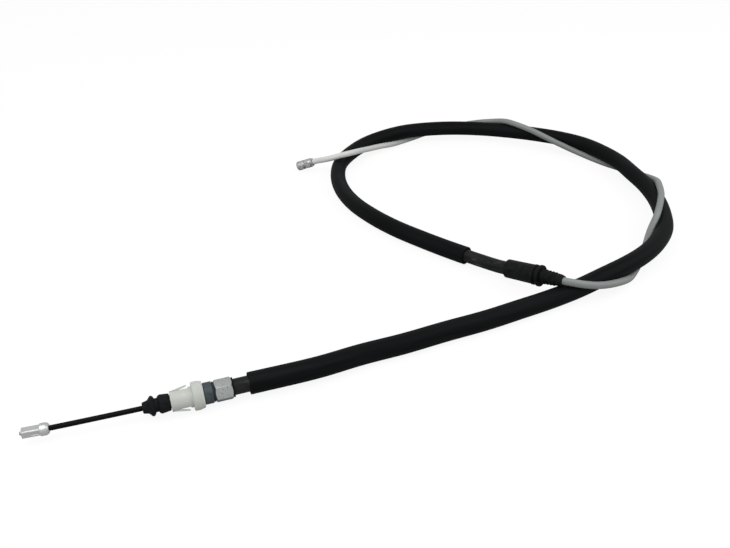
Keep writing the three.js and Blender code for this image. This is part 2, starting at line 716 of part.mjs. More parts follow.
function leverBellows() {
  const spigotSeatR = SPIGOT_D / 2 + SEAT_GAP;
  const sheathBoreR = tailR + LAYER_GAP;
  const innerR = (x) => THREE.MathUtils.mapLinear(x, ribsX, noseX, spigotSeatR, sheathBoreR);
  const outerR = (x) => THREE.MathUtils.mapLinear(x, ribsX, noseX, BELLOWS_D / 2 - 0.3, BELLOWS_WAIST_D / 2);
  const outside = [[bellowsX, BELLOWS_D / 2], [ribsX, BELLOWS_D / 2 - 0.3]];
  for (let rib = 0; rib < BELLOWS_RIBS; rib += 1) {
    const crest = ribsX + (rib + 0.5) * RIB_PITCH;
    outside.push([crest - RIB_PITCH / 4, outerR(crest)]);
    outside.push([crest, outerR(crest) + RIB_HEIGHT]);
    outside.push([crest + RIB_PITCH / 4, outerR(crest)]);
  }
  outside.push(
    [noseX, BELLOWS_WAIST_D / 2],
    [noseX + 0.6, BELLOWS_NOSE_D / 2],
    [tipX, BELLOWS_NOSE_D / 2 - 0.3],
    [bellowsEndX, BELLOWS_TIP_D / 2],
  );
  const bellows = turned([
    [bellowsX, spigotSeatR],
    ...outside,
    [bellowsEndX, sheathBoreR],
    [noseX, innerR(noseX)],
    [spigotEndX, spigotSeatR],
  ]);
  return piece('lever_end_bellows', bellows, blackRubber);
}

function leverFittings() {
  const ringR = RING_D / 2;
  return [
    leverHousing(),
    crimpFerrule(),
    piece('retaining_ring', turned([
      [ringX, SPIGOT_D / 2 + SEAT_GAP],
      [ringX, ringR - 0.4],
      [ringX + 0.4, ringR],
      [ringX + RING_LENGTH - 0.6, ringR],
      [ringX + RING_LENGTH, ringR - 0.6],
      [ringX + RING_LENGTH, SPIGOT_D / 2 + SEAT_GAP],
    ]), blackPlastic),
    leverBellows(),
  ];
}

// Tail
function tailSheath() {
  const from = distanceToPoint(tailCurve, 1);
  const stops = clipStops(tailCurve, tailStops, from, nippleAt + NIPPLE_SOCKET - SEAT_GAP);
  return piece('tail_sheath', tubeAlong(stops, tailR, tailR - TAIL_WALL, TAIL_SIDES), greySheath);
}

function tailNipple() {
  const barrelR = NIPPLE_D / 2;
  const grooveR = barrelR - NIPPLE_GROOVE;
  const grooveX = NIPPLE_LENGTH / 2;
  const nipple = turned([
    [0, tailR + LAYER_GAP],
    [0, NIPPLE_SHOULDER_D / 2],
    [NIPPLE_SHOULDER, NIPPLE_SHOULDER_D / 2],
    [NIPPLE_SHOULDER, barrelR - 0.3],
    [NIPPLE_SHOULDER + 0.3, barrelR],
    [grooveX - NIPPLE_GROOVE_WIDTH / 2, barrelR],
    [grooveX - NIPPLE_GROOVE_WIDTH / 2, grooveR],
    [grooveX + NIPPLE_GROOVE_WIDTH / 2, grooveR],
    [grooveX + NIPPLE_GROOVE_WIDTH / 2, barrelR],
    [NIPPLE_LENGTH - 0.8, barrelR],
    [NIPPLE_LENGTH, barrelR - 0.8],
    [NIPPLE_LENGTH, NIPPLE_RECESS_D / 2],
    [NIPPLE_LENGTH - NIPPLE_RECESS, NIPPLE_RECESS_D / 2],
    [NIPPLE_LENGTH - NIPPLE_RECESS, ropeR + SEAT_GAP],
    [NIPPLE_SOCKET, ropeR + SEAT_GAP],
    [NIPPLE_SOCKET, tailR + LAYER_GAP],
  ]);
  return piece('tail_nipple', nipple, dieCastZinc);
}

blockEnd.add(endBlock());
brakeEnd.add(...brakeFittings());
leverEnd.add(...leverFittings());
tailEnd.add(tailNipple());

const cable = new THREE.Group();
cable.name = 'parking_brake_cable';
cable.add(...brakeStub(), ...casing(), innerRope(), tailSheath(), blockEnd, brakeEnd, leverEnd, tailEnd);

export default cable;
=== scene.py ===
"""Parking brake cable: its dressed model, finishes and studio, in metres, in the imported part's frame.

The cable lies on the floor as one loose loop. The brake end points towards -X. The lever end
crosses over the sleeve near +X, and its grey tail winds round the sleeve to the nipple.
"""

import logging
import math
from dataclasses import dataclass
from enum import Enum
from typing import Sequence

import bmesh
import bpy
import numpy as np
from mathutils import Matrix, Vector


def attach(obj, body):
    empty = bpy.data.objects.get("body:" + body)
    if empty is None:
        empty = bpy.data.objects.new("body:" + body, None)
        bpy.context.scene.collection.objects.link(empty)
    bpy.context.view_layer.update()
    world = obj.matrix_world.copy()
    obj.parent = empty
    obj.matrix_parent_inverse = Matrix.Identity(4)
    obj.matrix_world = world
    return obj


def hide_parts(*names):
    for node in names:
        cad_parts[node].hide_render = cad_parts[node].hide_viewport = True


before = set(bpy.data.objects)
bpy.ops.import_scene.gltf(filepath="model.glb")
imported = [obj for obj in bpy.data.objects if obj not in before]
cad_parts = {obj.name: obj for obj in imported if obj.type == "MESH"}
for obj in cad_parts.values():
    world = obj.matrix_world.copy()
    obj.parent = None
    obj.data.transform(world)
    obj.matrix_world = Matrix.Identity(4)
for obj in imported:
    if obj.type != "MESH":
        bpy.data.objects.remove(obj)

log = logging.getLogger("parking_brake_cable")

MM = 0.001
MIX_FIRST, MIX_SECOND = 6, 7  # the mix node's colour sockets

Profile = list[tuple[float, float]]


class Body(Enum):
    """The two bodies of the cable."""

    CASING = "casing"
    BRAKE_END = "brake_end"


class Grain(Enum):
    """What a surface pattern follows: the piece's own length, or the solid as a whole."""

    ALONG = "along"
    SOLID = "solid"


class Cut(Enum):
    """What is left of a piece where another solid meets it."""

    OUTSIDE = "DIFFERENCE"
    SHARED = "INTERSECT"


# ---------------------------------------------------------------------------
# Finishes
# ---------------------------------------------------------------------------


def linear(code: str) -> tuple[float, float, float, float]:
    """Turns an sRGB hex colour to the linear colour that a shader takes.

    Args:
        code: the colour, such as "#1d1f20".

    Returns:
        Red, green, blue and alpha.
    """
    values = [int(code[i:i + 2], 16) / 255 for i in (1, 3, 5)]
    red, green, blue = (v / 12.92 if v <= 0.04045 else ((v + 0.055) / 1.055) ** 2.4 for v in values)
    return red, green, blue, 1.0


def add_node(tree: bpy.types.NodeTree, kind: str, inputs: dict | None = None, **settings) -> bpy.types.Node:
    """Adds one node with its settings, values and links.

    Args:
        tree: the node tree that it joins.
        kind: its type's name.
        inputs: socket name or number to a value, or to the output socket that feeds it.
        settings: properties of the node itself.

    Returns:
        The new node.
    """
    node = tree.nodes.new(kind)
    for name, value in settings.items():
        setattr(node, name, value)
    for socket, value in (inputs or {}).items():
        if isinstance(value, bpy.types.NodeSocket):
            tree.links.new(value, node.inputs[socket])
        else:
            node.inputs[socket].default_value = value
    return node


@dataclass(frozen=True)
class Finish:
    """What every finish shares: a name, a colour with its second tone, and a roughness.

    Sizes are in millimetres, so a pattern keeps its real scale on any piece.
    """

    name: str
    colour: str
    tone: str
    roughness: float
    roughness_spread: float = 0.08
    mottle_mm: float = 6.0
    grain: Grain = Grain.SOLID
    stretch: float = 1.0

    def material(self) -> bpy.types.Material:
        """Makes the material once, and gives the same one after that.

        Returns:
            The Blender material.
        """
        made = bpy.data.materials.get(self.name)
        if made:
            return made
        material = bpy.data.materials.new(self.name)
        material.use_nodes = True
        tree = material.node_tree
        tree.nodes.clear()
        shader = add_node(tree, "ShaderNodeBsdfPrincipled")
        add_node(tree, "ShaderNodeOutputMaterial", {"Surface": shader.outputs[0]})
        self.dress(tree, shader, self.position(tree))
        material.diffuse_color = linear(self.colour)
        return material

    def position(self, tree: bpy.types.NodeTree) -> bpy.types.NodeSocket:
        """Gives the place on the piece in millimetres, drawn out along the grain.

        Args:
            tree: the material's node tree.

        Returns:
            A vector socket.
        """
        if self.grain is Grain.ALONG:
            place = add_node(tree, "ShaderNodeAttribute", attribute_name="along").outputs["Vector"]
            scale = (1.0, 1.0, 1.0 / self.stretch)
        else:
            place = add_node(tree, "ShaderNodeTexCoord").outputs["Object"]
            scale = (1.0 / MM,) * 3
        return add_node(tree, "ShaderNodeMapping", {"Vector": place, "Scale": scale}).outputs[0]

    def spots(self, tree: bpy.types.NodeTree, place: bpy.types.NodeSocket, size: float, low: float,
              high: float, detail: float = 3.0) -> bpy.types.NodeSocket:
        """Gives soft random spots, 0 between them and 1 in them.

        Args:
            tree: the material's node tree.
            place: the place in millimetres.
            size: the spots' spacing in millimetres.
            low: noise level where the spots begin.
            high: noise level where they are full.
            detail: how many finer layers the noise has.

        Returns:
            A value socket.
        """
        noise = add_node(tree, "ShaderNodeTexNoise", {"Vector": place, "Scale": 1 / size, "Detail": detail})
        return add_node(tree, "ShaderNodeMapRange", {
            "Value": noise.outputs[0], "From Min": low, "From Max": high,
        }).outputs[0]

    def dress(self, tree: bpy.types.NodeTree, shader: bpy.types.Node,
              place: bpy.types.NodeSocket) -> None:
        """Wires the finish's pattern into the shader.

        Args:
            tree: the material's node tree.
            shader: the surface shader.
            place: the place in millimetres.
        """
        raise NotImplementedError


@dataclass(frozen=True)
class Polymer(Finish):
    """A plastic or rubber: coloured right through, with a soft gloss and a fine grain."""

    specular: float = 0.2
    ior: float = 1.5
    grain_mm: float = 0.5
    grain_height_mm: float = 0.01
    rub_and_sheen: str = ""
    rub_and_sheen_mm: float = 9.0
    subsurface: float = 0.0
    depth_mm: float = 1.0
    sheen: float = 0.0
    far: str = ""
    far_from_mm: float = 0.0
    far_to_mm: float = 1.0

    def dress(self, tree: bpy.types.NodeTree, shader: bpy.types.Node,
              place: bpy.types.NodeSocket) -> None:
        """Wires mottled colour, uneven gloss, rubbed patches and grain into the shader; on the jacket the
        lighter rubbed streaks are also a painted sheen.

        Args:
            tree: the material's node tree.
            shader: the surface shader.
            place: the place in millimetres.
        """
        mottle = self.spots(tree, place, self.mottle_mm, 0.35, 0.65)
        mix = add_node(tree, "ShaderNodeMix", {
            "Factor": mottle, MIX_FIRST: linear(self.colour), MIX_SECOND: linear(self.tone),
        }, data_type="RGBA")
        colour = mix.outputs[2]
        # Rubbed patches: real rubs and scuffs, and on the jacket also a painted sheen in lighter streaks.
        if self.rub_and_sheen:
            rubs_and_sheen = self.spots(tree, place, self.rub_and_sheen_mm, 0.56, 0.72, detail=6.0)
            mix = add_node(tree, "ShaderNodeMix", {
                "Factor": rubs_and_sheen, MIX_FIRST: colour, MIX_SECOND: linear(self.rub_and_sheen),
            }, data_type="RGBA")
            colour = mix.outputs[2]
        # Lighter towards the far end of the piece's length.
        if self.far:
            length = add_node(tree, "ShaderNodeSeparateXYZ", {0: place}).outputs[2]
            far_share = add_node(tree, "ShaderNodeMapRange", {
                "Value": length, "From Min": self.far_from_mm / self.stretch,
                "From Max": self.far_to_mm / self.stretch,
            })
            mix = add_node(tree, "ShaderNodeMix", {
                "Factor": far_share.outputs[0], MIX_FIRST: colour, MIX_SECOND: linear(self.far),
            }, data_type="RGBA")
            colour = mix.outputs[2]
        rough = add_node(tree, "ShaderNodeMapRange", {
            "Value": mottle, "To Min": self.roughness - self.roughness_spread,
            "To Max": self.roughness + self.roughness_spread,
        })
        fine = add_node(tree, "ShaderNodeTexNoise", {
            "Vector": place, "Scale": 1 / self.grain_mm, "Detail": 2.0,
        })
        bump = add_node(tree, "ShaderNodeBump", {
            "Height": fine.outputs[0], "Strength": 0.5, "Distance": self.grain_height_mm * MM,
        })
        tree.links.new(colour, shader.inputs["Base Color"])
        tree.links.new(rough.outputs[0], shader.inputs["Roughness"])
        tree.links.new(bump.outputs[0], shader.inputs["Normal"])
        shader.inputs["Specular IOR Level"].default_value = self.specular
        shader.inputs["IOR"].default_value = self.ior
        shader.inputs["Subsurface Weight"].default_value = self.subsurface
        shader.inputs["Subsurface Radius"].default_value = (1.0, 1.0, 0.85)
        shader.inputs["Subsurface Scale"].default_value = self.depth_mm * MM
        shader.inputs["Sheen Weight"].default_value = self.sheen


@dataclass(frozen=True)
class BareMetal(Finish):
    """A metal surface: stained and uneven in gloss, with pits, brighter rubbed edges and painted shade in
    its corners; on one finish the stains are painted reflections.
    """

    bright: str = "#e6e8e8"
    # Painted shade: the dark colour that corners, pockets and faces near the floor are mixed towards.
    painted_shade: str = "#3a3d3e"
    reach_mm: float = 3.0
    pit_mm: float = 0.8
    pit_height_mm: float = 0.03
    stain_and_reflection_low: float = 0.42
    stain_and_reflection_high: float = 0.62
    edge_mm: float = 0.35
    edge_wear: float = 0.8

    def dress(self, tree: bpy.types.NodeTree, shader: bpy.types.Node,
              place: bpy.types.NodeSocket) -> None:
        """Wires stains (painted reflections on the nipple's finish), pits, worn edges and painted shade in
        corners into the shader.

        Args:
            tree: the material's node tree.
            shader: the surface shader.
            place: the place in millimetres.
        """
        # Stains; on the nipple's finish the same patches are painted reflections.
        stain_and_reflection = self.spots(tree, place, self.mottle_mm, self.stain_and_reflection_low, self.stain_and_reflection_high, detail=5.0)
        colour = add_node(tree, "ShaderNodeMix", {
            "Factor": stain_and_reflection, MIX_FIRST: linear(self.colour), MIX_SECOND: linear(self.tone),
        }, data_type="RGBA").outputs[2]
        rounded_off = add_node(tree, "ShaderNodeBevel", {"Radius": self.edge_mm * MM}, samples=6)
        own = add_node(tree, "ShaderNodeNewGeometry").outputs["Normal"]
        alike = add_node(tree, "ShaderNodeVectorMath", {0: rounded_off.outputs[0], 1: own},
                         operation="DOT_PRODUCT").outputs["Value"]
        edge = add_node(tree, "ShaderNodeMapRange", {
            "Value": alike, "From Min": 0.995, "From Max": 0.94, "To Max": self.edge_wear,
        })
        worn = add_node(tree, "ShaderNodeMix", {
            "Factor": edge.outputs[0], MIX_FIRST: colour, MIX_SECOND: linear(self.bright),
        }, data_type="RGBA")
        # Painted shade: ambient occlusion mixes the colour towards the dark shade colour in corners,
        # pockets, grooves, seams and faces near the floor.
        open_air = add_node(tree, "ShaderNodeAmbientOcclusion", {"Distance": self.reach_mm * MM}, samples=8)
        unshaded = add_node(tree, "ShaderNodeMapRange", {
            "Value": open_air.outputs["AO"], "From Min": 0.25, "From Max": 0.95,
        })
        shaded = add_node(tree, "ShaderNodeMix", {
            "Factor": unshaded.outputs[0], MIX_FIRST: linear(self.painted_shade), MIX_SECOND: worn.outputs[2],
        }, data_type="RGBA")
        rough = add_node(tree, "ShaderNodeMapRange", {
            "Value": stain_and_reflection, "To Min": self.roughness - self.roughness_spread,
            "To Max": self.roughness + self.roughness_spread,
        })
        pits = add_node(tree, "ShaderNodeTexNoise", {
            "Vector": place, "Scale": 1 / self.pit_mm, "Detail": 4.0,
        })
        bump = add_node(tree, "ShaderNodeBump", {
            "Height": pits.outputs[0], "Strength": 0.8, "Distance": self.pit_height_mm * MM,
        })
        tree.links.new(shaded.outputs[2], shader.inputs["Base Color"])
        tree.links.new(rough.outputs[0], shader.inputs["Roughness"])
        tree.links.new(bump.outputs[0], shader.inputs["Normal"])
        shader.inputs["Metallic"].default_value = 1.0


# Polyethylene sleeve, extruded: nearly black, satin, with long faint die streaks and dusty rubs.
SLEEVE = Polymer("extruded_polyethylene_sleeve", "#0c0d0e", "#131516", 0.5, 0.08, mottle_mm=5.0,
                 grain=Grain.ALONG, stretch=14.0, specular=0.05, grain_mm=1.2, grain_height_mm=0.02,
                 rub_and_sheen="#1a1d1e", rub_and_sheen_mm=14.0)
# PVC conduit jacket, extruded: black, a little greyer than the sleeve, with lighter streaks along it that
# are part scuffs and part painted sheen.
JACKET = Polymer("extruded_pvc_jacket", "#161717", "#232424", 0.4, 0.1, mottle_mm=2.2,
                 grain=Grain.ALONG, stretch=5.0, specular=0.1, grain_mm=0.8, grain_height_mm=0.03,
                 rub_and_sheen="#454543", rub_and_sheen_mm=3.0)
# Polyamide coat on the stub's rope, extruded: smooth black with a thin bright line of gloss.
COAT = Polymer("extruded_polyamide_coat", "#080909", "#0f1010", 0.35, 0.08, mottle_mm=3.0,
               grain=Grain.ALONG, stretch=6.0, specular=0.05, grain_mm=0.8, grain_height_mm=0.01)
# Moulded EPDM rubber: dull black with a dusty bloom, drawn as coarse as the render can show.
RUBBER = Polymer("moulded_epdm_rubber", "#111213", "#1b1d1e", 0.6, 0.08, mottle_mm=2.5,
                 specular=0.06, grain_mm=0.45, grain_height_mm=0.02, sheen=0.01)
# Nitrile rubber, moulded in slate grey: the front ring, dull and even beside the spacer.
GREY_NITRILE = Polymer("moulded_grey_nitrile_rubber", "#2c3133", "#353b3e", 0.55, 0.06, mottle_mm=2.5,
                       specular=0.08, grain_mm=0.6, grain_height_mm=0.015)
# Moulded polyamide, black: smooth and satin, with faint flow marks.
MOULDED_BLACK = Polymer("moulded_black_polyamide", "#131414", "#1b1c1d", 0.45, 0.08, mottle_mm=4.0,
                        specular=0.06, grain_mm=0.6, grain_height_mm=0.012)
# Natural polyamide, moulded: milky, so light goes a little way in and its edges glow.
NATURAL_NYLON = Polymer("moulded_natural_polyamide", "#c4c6c0", "#bdc0ba", 0.4, 0.05, mottle_mm=7.0,
                        specular=0.3, grain_mm=1.4, grain_height_mm=0.008, subsurface=0.5, depth_mm=2.0)
# Acetal, moulded in slate grey: dense and even, with a soft waxy gloss.
SLATE_ACETAL = Polymer("moulded_slate_acetal", "#3b4347", "#475055", 0.42, 0.07, mottle_mm=3.0,
                       specular=0.15, grain_mm=0.7, grain_height_mm=0.012)
# PVC tail sheath, extruded in mid grey: smooth, satin, handled, and lighter towards its free end.
GREY_SHEATH = Polymer("extruded_grey_sheath", "#7e8281", "#8a8e8d", 0.4, 0.08, mottle_mm=4.0,
                      grain=Grain.ALONG, stretch=8.0, specular=0.3, grain_mm=0.9,
                      grain_height_mm=0.012, rub_and_sheen="#757978", rub_and_sheen_mm=9.0,
                      far="#d3d4d2", far_from_mm=540.0, far_to_mm=700.0)
# Acetal liner, extruded: hidden in the conduit, off-white and slippery.
LINER = Polymer("extruded_acetal_liner", "#dcdcd4", "#e6e6df", 0.4, 0.05, mottle_mm=4.0,
                specular=0.4, grain_mm=0.6, grain_height_mm=0.01)
# Steel turned on a lathe and zinc plated: bright, with a few dull worn spots and painted shade in its
# corners.
ZINC_PLATE = BareMetal("zinc_plated_turned_steel", "#c3c6c6", "#989b9b", 0.38, 0.06, mottle_mm=1.3,
                       bright="#fafbfb", painted_shade="#6a6e6f", reach_mm=3.0, pit_mm=1.2,
                       pit_height_mm=0.012, stain_and_reflection_low=0.56, stain_and_reflection_high=0.7, edge_wear=0.6)
# Zinc, die-cast: greyer, grainy from the die, with painted shade in its pockets, and rubbed bright on its
# edges.
DIE_CAST = BareMetal("die_cast_zinc", "#5c605e", "#4a4d4c", 0.48, 0.08, mottle_mm=1.6,
                     bright="#dcdedd", painted_shade="#2e3131", reach_mm=5.0, pit_mm=0.8, pit_height_mm=0.03,
                     stain_and_reflection_low=0.46, stain_and_reflection_high=0.62, edge_mm=0.3, edge_wear=0.3)
# The same zinc with bright and dark patches painted on as reflections, and painted shade in its grooves.
PATCHED_ZINC = BareMetal("die_cast_zinc_painted_reflections", "#cfd1d0", "#5f6261", 0.36, 0.08, mottle_mm=2.4,
                      bright="#f2f4f3", painted_shade="#161818", reach_mm=4.5, pit_mm=1.4, pit_height_mm=0.04,
                      stain_and_reflection_low=0.52, stain_and_reflection_high=0.62)
# Steel wire, drawn and laid into rope: bright crowns on each strand and painted shade between them.
ROPE_WIRE = BareMetal("drawn_steel_wire", "#9a9d9e", "#6b6e6f", 0.35, 0.08, mottle_mm=0.8,
                      bright="#c9cbcb", pit_mm=0.4, pit_height_mm=0.02)


# ---------------------------------------------------------------------------
# Lines that the pieces follow
# ---------------------------------------------------------------------------


@dataclass(frozen=True)
class Axis:
    """A straight axis, in millimetres and degrees, that turned pieces are made on."""

    origin: tuple[float, float, float]
    heading: float
    tilt: float = 0.0

    def matrix(self) -> np.ndarray:
        """Gives the axis's own X, Y and Z directions as the columns of a 3 by 3 matrix."""
        h, t = math.radians(self.heading), math.radians(self.tilt)
        return np.array([
            [math.cos(h) * math.cos(t), -math.sin(h), -math.sin(t) * math.cos(h)],
            [math.sin(h) * math.cos(t), math.cos(h), -math.sin(t) * math.sin(h)],
            [math.sin(t), 0.0, math.cos(t)],
        ])

    def point(self, x: float, y: float = 0.0, z: float = 0.0) -> np.ndarray:
        """Gives a point of the axis's own frame in the part's frame, in millimetres."""
        return np.array(self.origin) + self.matrix() @ np.array([x, y, z])

    def place(self, obj: bpy.types.Object) -> bpy.types.Object:
        """Moves a mesh made in this axis's frame, in millimetres, into the part's frame, in metres.

        Args:
            obj: the piece.

        Returns:
            The same piece.
        """
        matrix = Matrix(self.matrix().tolist()).to_4x4()
        matrix.translation = self.origin
        obj.data.transform(Matrix.Scale(MM, 4) @ matrix)
        obj.data.update()
        return obj


class Route:
    """A smooth curve through points, in millimetres, measured along its length."""

    DIVISIONS = 24

    def __init__(self, points: Sequence[Sequence[float]]) -> None:
        """Fits the curve.

        Args:
            points: the points that it passes through.
        """
        self.points = np.array([list(p) for p in points], dtype=float)
        self.spans = self._spans()
        steps = (len(self.points) - 1) * self.DIVISIONS
        self.times = np.linspace(0.0, len(self.points) - 1, steps + 1)
        places = self._value(self.times)
        chords = np.linalg.norm(np.diff(places, axis=0), axis=1)
        self.distances = np.concatenate([[0.0], np.cumsum(chords)])
        self.length = float(self.distances[-1])
        self._carry_frames()

    def _spans(self) -> np.ndarray:
        """Works out each span's cubic, with knots spaced by the square root of the chord.

        Returns:
            An array of spans, four coefficients and three coordinates.
        """
        p = self.points
        p = np.vstack([2 * p[0] - p[1], p, 2 * p[-1] - p[-2]])
        chords = np.linalg.norm(np.diff(p, axis=0), axis=1) ** 0.5
        spans = []
        for i in range(len(p) - 3):
            p0, p1, p2, p3 = p[i:i + 4]
            d0, d1, d2 = chords[i:i + 3]
            t1 = ((p1 - p0) / d0 - (p2 - p0) / (d0 + d1) + (p2 - p1) / d1) * d1
            t2 = ((p2 - p1) / d1 - (p3 - p1) / (d1 + d2) + (p3 - p2) / d2) * d1
            spans.append([p1, t1, -3 * p1 + 3 * p2 - 2 * t1 - t2, 2 * p1 - 2 * p2 + t1 + t2])
        return np.array(spans)

    def _cubics(self, times: np.ndarray) -> tuple[np.ndarray, np.ndarray]:
        """Gives the cubics at curve times, and how far along each of them the times are."""
        span = np.clip(np.floor(times).astype(int), 0, len(self.spans) - 1)
        return self.spans[span], (times - span)[:, None]

    def _value(self, times: np.ndarray) -> np.ndarray:
        """Gives the points at curve times."""
        c, w = self._cubics(times)
        return c[:, 0] + c[:, 1] * w + c[:, 2] * w ** 2 + c[:, 3] * w ** 3

    def _slope(self, times: np.ndarray) -> np.ndarray:
        """Gives the unit directions at curve times."""
        c, w = self._cubics(times)
        slope = c[:, 1] + 2 * c[:, 2] * w + 3 * c[:, 3] * w ** 2
        return slope / np.linalg.norm(slope, axis=1)[:, None]

    def _carry_frames(self) -> None:
        """Carries a sideways direction along the curve without letting it twist."""
        slopes = self._slope(self.times)
        side = np.cross(slopes[0], [0.0, 0.0, 1.0])
        sides = []
        for slope in slopes:
            side = side - slope * (side @ slope)
            side = side / np.linalg.norm(side)
            sides.append(side)
        self.sides = np.array(sides)

    def at(self, distances: Sequence[float]) -> tuple[np.ndarray, np.ndarray]:
        """Gives the points and directions at distances along the curve.

        Args:
            distances: distances from the start, in millimetres.

        Returns:
            The points and the unit directions.
        """
        times = np.interp(distances, self.distances, self.times)
        return self._value(times), self._slope(times)

    def knot(self, index: int) -> float:
        """Gives the distance along the curve to one of its own points."""
        return float(self.distances[index * self.DIVISIONS])

    def frames(self, distances: Sequence[float]) -> tuple[np.ndarray, np.ndarray, np.ndarray]:
        """Gives points with two directions across the curve, for building rings.

        Args:
            distances: distances from the start, in millimetres.

        Returns:
            The points, the sideways directions and the upward ones.
        """
        points, slopes = self.at(distances)
        sides = np.stack([np.interp(distances, self.distances, self.sides[:, k]) for k in range(3)], 1)
        sides -= slopes * np.sum(sides * slopes, axis=1)[:, None]
        sides /= np.linalg.norm(sides, axis=1)[:, None]
        return points, sides, np.cross(sides, slopes)


# ---------------------------------------------------------------------------
# Mesh work
# ---------------------------------------------------------------------------


def rounded(profile: Profile, radius: float, steps: int = 4) -> Profile:
    """Rounds every real corner of a closed profile.

    Args:
        profile: its [place, radius] points.
        radius: how far back from a corner the rounding starts, where there is room.
        steps: how many pieces each rounding has.

    Returns:
        The rounded profile.
    """
    result: Profile = []
    count = len(profile)
    for i, corner in enumerate(profile):
        here = np.array(corner)
        back, on = np.array(profile[i - 1]) - here, np.array(profile[(i + 1) % count]) - here
        back_length, on_length = np.linalg.norm(back), np.linalg.norm(on)
        turn = math.acos(np.clip(-(back @ on) / (back_length * on_length), -1, 1))
        if turn < math.radians(8):
            result.append(corner)
            continue
        reach = min(radius, 0.45 * back_length, 0.45 * on_length)
        start, end = here + back / back_length * reach, here + on / on_length * reach
        for step in range(steps + 1):
            w = step / steps
            x, r = (1 - w) ** 2 * start + 2 * w * (1 - w) * here + w ** 2 * end
            result.append((float(x), float(r)))
    return result


def divided(profile: Profile, longest: float) -> Profile:
    """Adds points to a closed profile so that no stretch of it is longer than a limit.

    Args:
        profile: its [place, radius] points.
        longest: the limit, in millimetres.

    Returns:
        The finer profile.
    """
    result: Profile = []
    for i, (x, r) in enumerate(profile):
        next_x, next_r = profile[(i + 1) % len(profile)]
        parts = max(1, math.ceil(math.hypot(next_x - x, next_r - r) / longest))
        for part in range(parts):
            w = part / parts
            result.append((x + (next_x - x) * w, r + (next_r - r) * w))
    return result


def ring_mesh(name: str, rings: np.ndarray, grain: np.ndarray) -> bpy.types.Object:
    """Skins a closed loop of rings.

    Args:
        name: the piece's name.
        rings: array of rings, points round each ring, and coordinates.
        grain: the same shape, with the place along and round the piece in millimetres.

    Returns:
        The new piece.
    """
    count, sides = rings.shape[:2]
    faces = []
    for i in range(count):
        j = (i + 1) % count
        for k in range(sides):
            m = (k + 1) % sides
            faces.append((i * sides + k, j * sides + k, j * sides + m, i * sides + m))
    mesh = bpy.data.meshes.new(name)
    mesh.from_pydata(rings.reshape(-1, 3).tolist(), [], faces)
    layer = mesh.attributes.new("along", "FLOAT_VECTOR", "POINT")
    layer.data.foreach_set("vector", grain.reshape(-1).astype(np.float32))
    obj = bpy.data.objects.new(name, mesh)
    bpy.context.scene.collection.objects.link(obj)
    return smooth(obj)


def smooth(obj: bpy.types.Object, sharp_above: float = 34.0) -> bpy.types.Object:
    """Points a mesh's faces out and shades it smooth up to an angle.

    Args:
        obj: the piece.
        sharp_above: edges that turn by more degrees than this stay sharp.

    Returns:
        The same piece.
    """
    work = bmesh.new()
    work.from_mesh(obj.data)
    bmesh.ops.recalc_face_normals(work, faces=work.faces)
    work.to_mesh(obj.data)
    work.free()
    obj.data.shade_smooth()
    obj.data.set_sharp_from_angle(angle=math.radians(sharp_above))
    return obj


def turned(name: str, profile: Profile, sides: int = 72) -> bpy.types.Object:
    """Turns a closed profile about the local X axis, in millimetres.

    Args:
        name: the piece's name.
        profile: its [x, radius] points.
        sides: faces round the axis.

    Returns:
        The new piece, still in its axis's frame.
    """
    angles = np.linspace(0, 2 * math.pi, sides, endpoint=False)
    x = np.array([p[0] for p in profile])[:, None]
    r = np.array([p[1] for p in profile])[:, None]
    across, up = r * np.cos(angles), r * np.sin(angles)
    rings = np.stack([np.broadcast_to(x, across.shape), across, up], 2)
    return ring_mesh(name, rings, np.stack([across, up, np.broadcast_to(x, across.shape)], 2))


def swept(name: str, route: Route, profile: Profile, sides: int = 40) -> bpy.types.Object:
    """Sweeps a closed profile along a route, straight into the part's frame.

    Args:
        name: the piece's name.
        route: the curve that it follows.
        profile: its [distance along the route, radius] points.
        sides: faces round the route.

    Returns:
        The new piece, in metres.
    """
    angles = np.linspace(0, 2 * math.pi, sides, endpoint=False)
    along = np.array([p[0] for p in profile])
    radii = np.array([p[1] for p in profile])[:, None]
    points, across, up = route.frames(along)
    a, b = radii * np.cos(angles), radii * np.sin(angles)
    rings = points[:, None] + a[..., None] * across[:, None] + b[..., None] * up[:, None]
    grain = np.stack([a, b, np.broadcast_to(along[:, None], a.shape)], 2)
    return ring_mesh(name, rings * MM, grain)


def tube_profile(start: float, end: float, outer: float, bore: float, rim: float,
                 step: float) -> Profile:
    """Gives the closed profile of a tube with rounded rims.

    Args:
        start: where it begins along its route.
        end: where it ends.
        outer: outer radius.
        bore: inner radius.
        rim: rounding of its rims.
        step: longest stretch between rings.

    Returns:
        The profile.
    """
    return divided(rounded([(start, bore), (start, outer), (end, outer), (end, bore)], rim), step)


def block_mesh(name: str, points: Sequence[tuple[float, float, float]]) -> bpy.types.Object:
    """Makes a block whose two ends are the first and the second half of its points.

    Args:
        name: the piece's name.
        points: both ends' corners, in the same order.

    Returns:
        The new piece.
    """
    count = len(points) // 2
    faces = [tuple(range(count)), tuple(range(2 * count - 1, count - 1, -1))]
    faces += [(i, (i + 1) % count, count + (i + 1) % count, count + i) for i in range(count)]
    mesh = bpy.data.meshes.new(name)
    mesh.from_pydata(points, [], faces)
    obj = bpy.data.objects.new(name, mesh)
    bpy.context.scene.collection.objects.link(obj)
    return smooth(obj)


def prism(name: str, outline: Sequence[tuple[float, float]], width: float,
          turn: float = 0.0) -> bpy.types.Object:
    """Makes a block from a flat outline in the local XZ plane, turned about the X axis.

    Args:
        name: the piece's name.
        outline: its [x, z] points.
        width: its size along Y, centred.
        turn: degrees about X.

    Returns:
        The new piece, still in its axis's frame.
    """
    obj = block_mesh(name, [(x, side * width / 2, z) for side in (-1, 1) for x, z in outline])
    obj.data.transform(Matrix.Rotation(math.radians(turn), 4, "X"))
    return obj


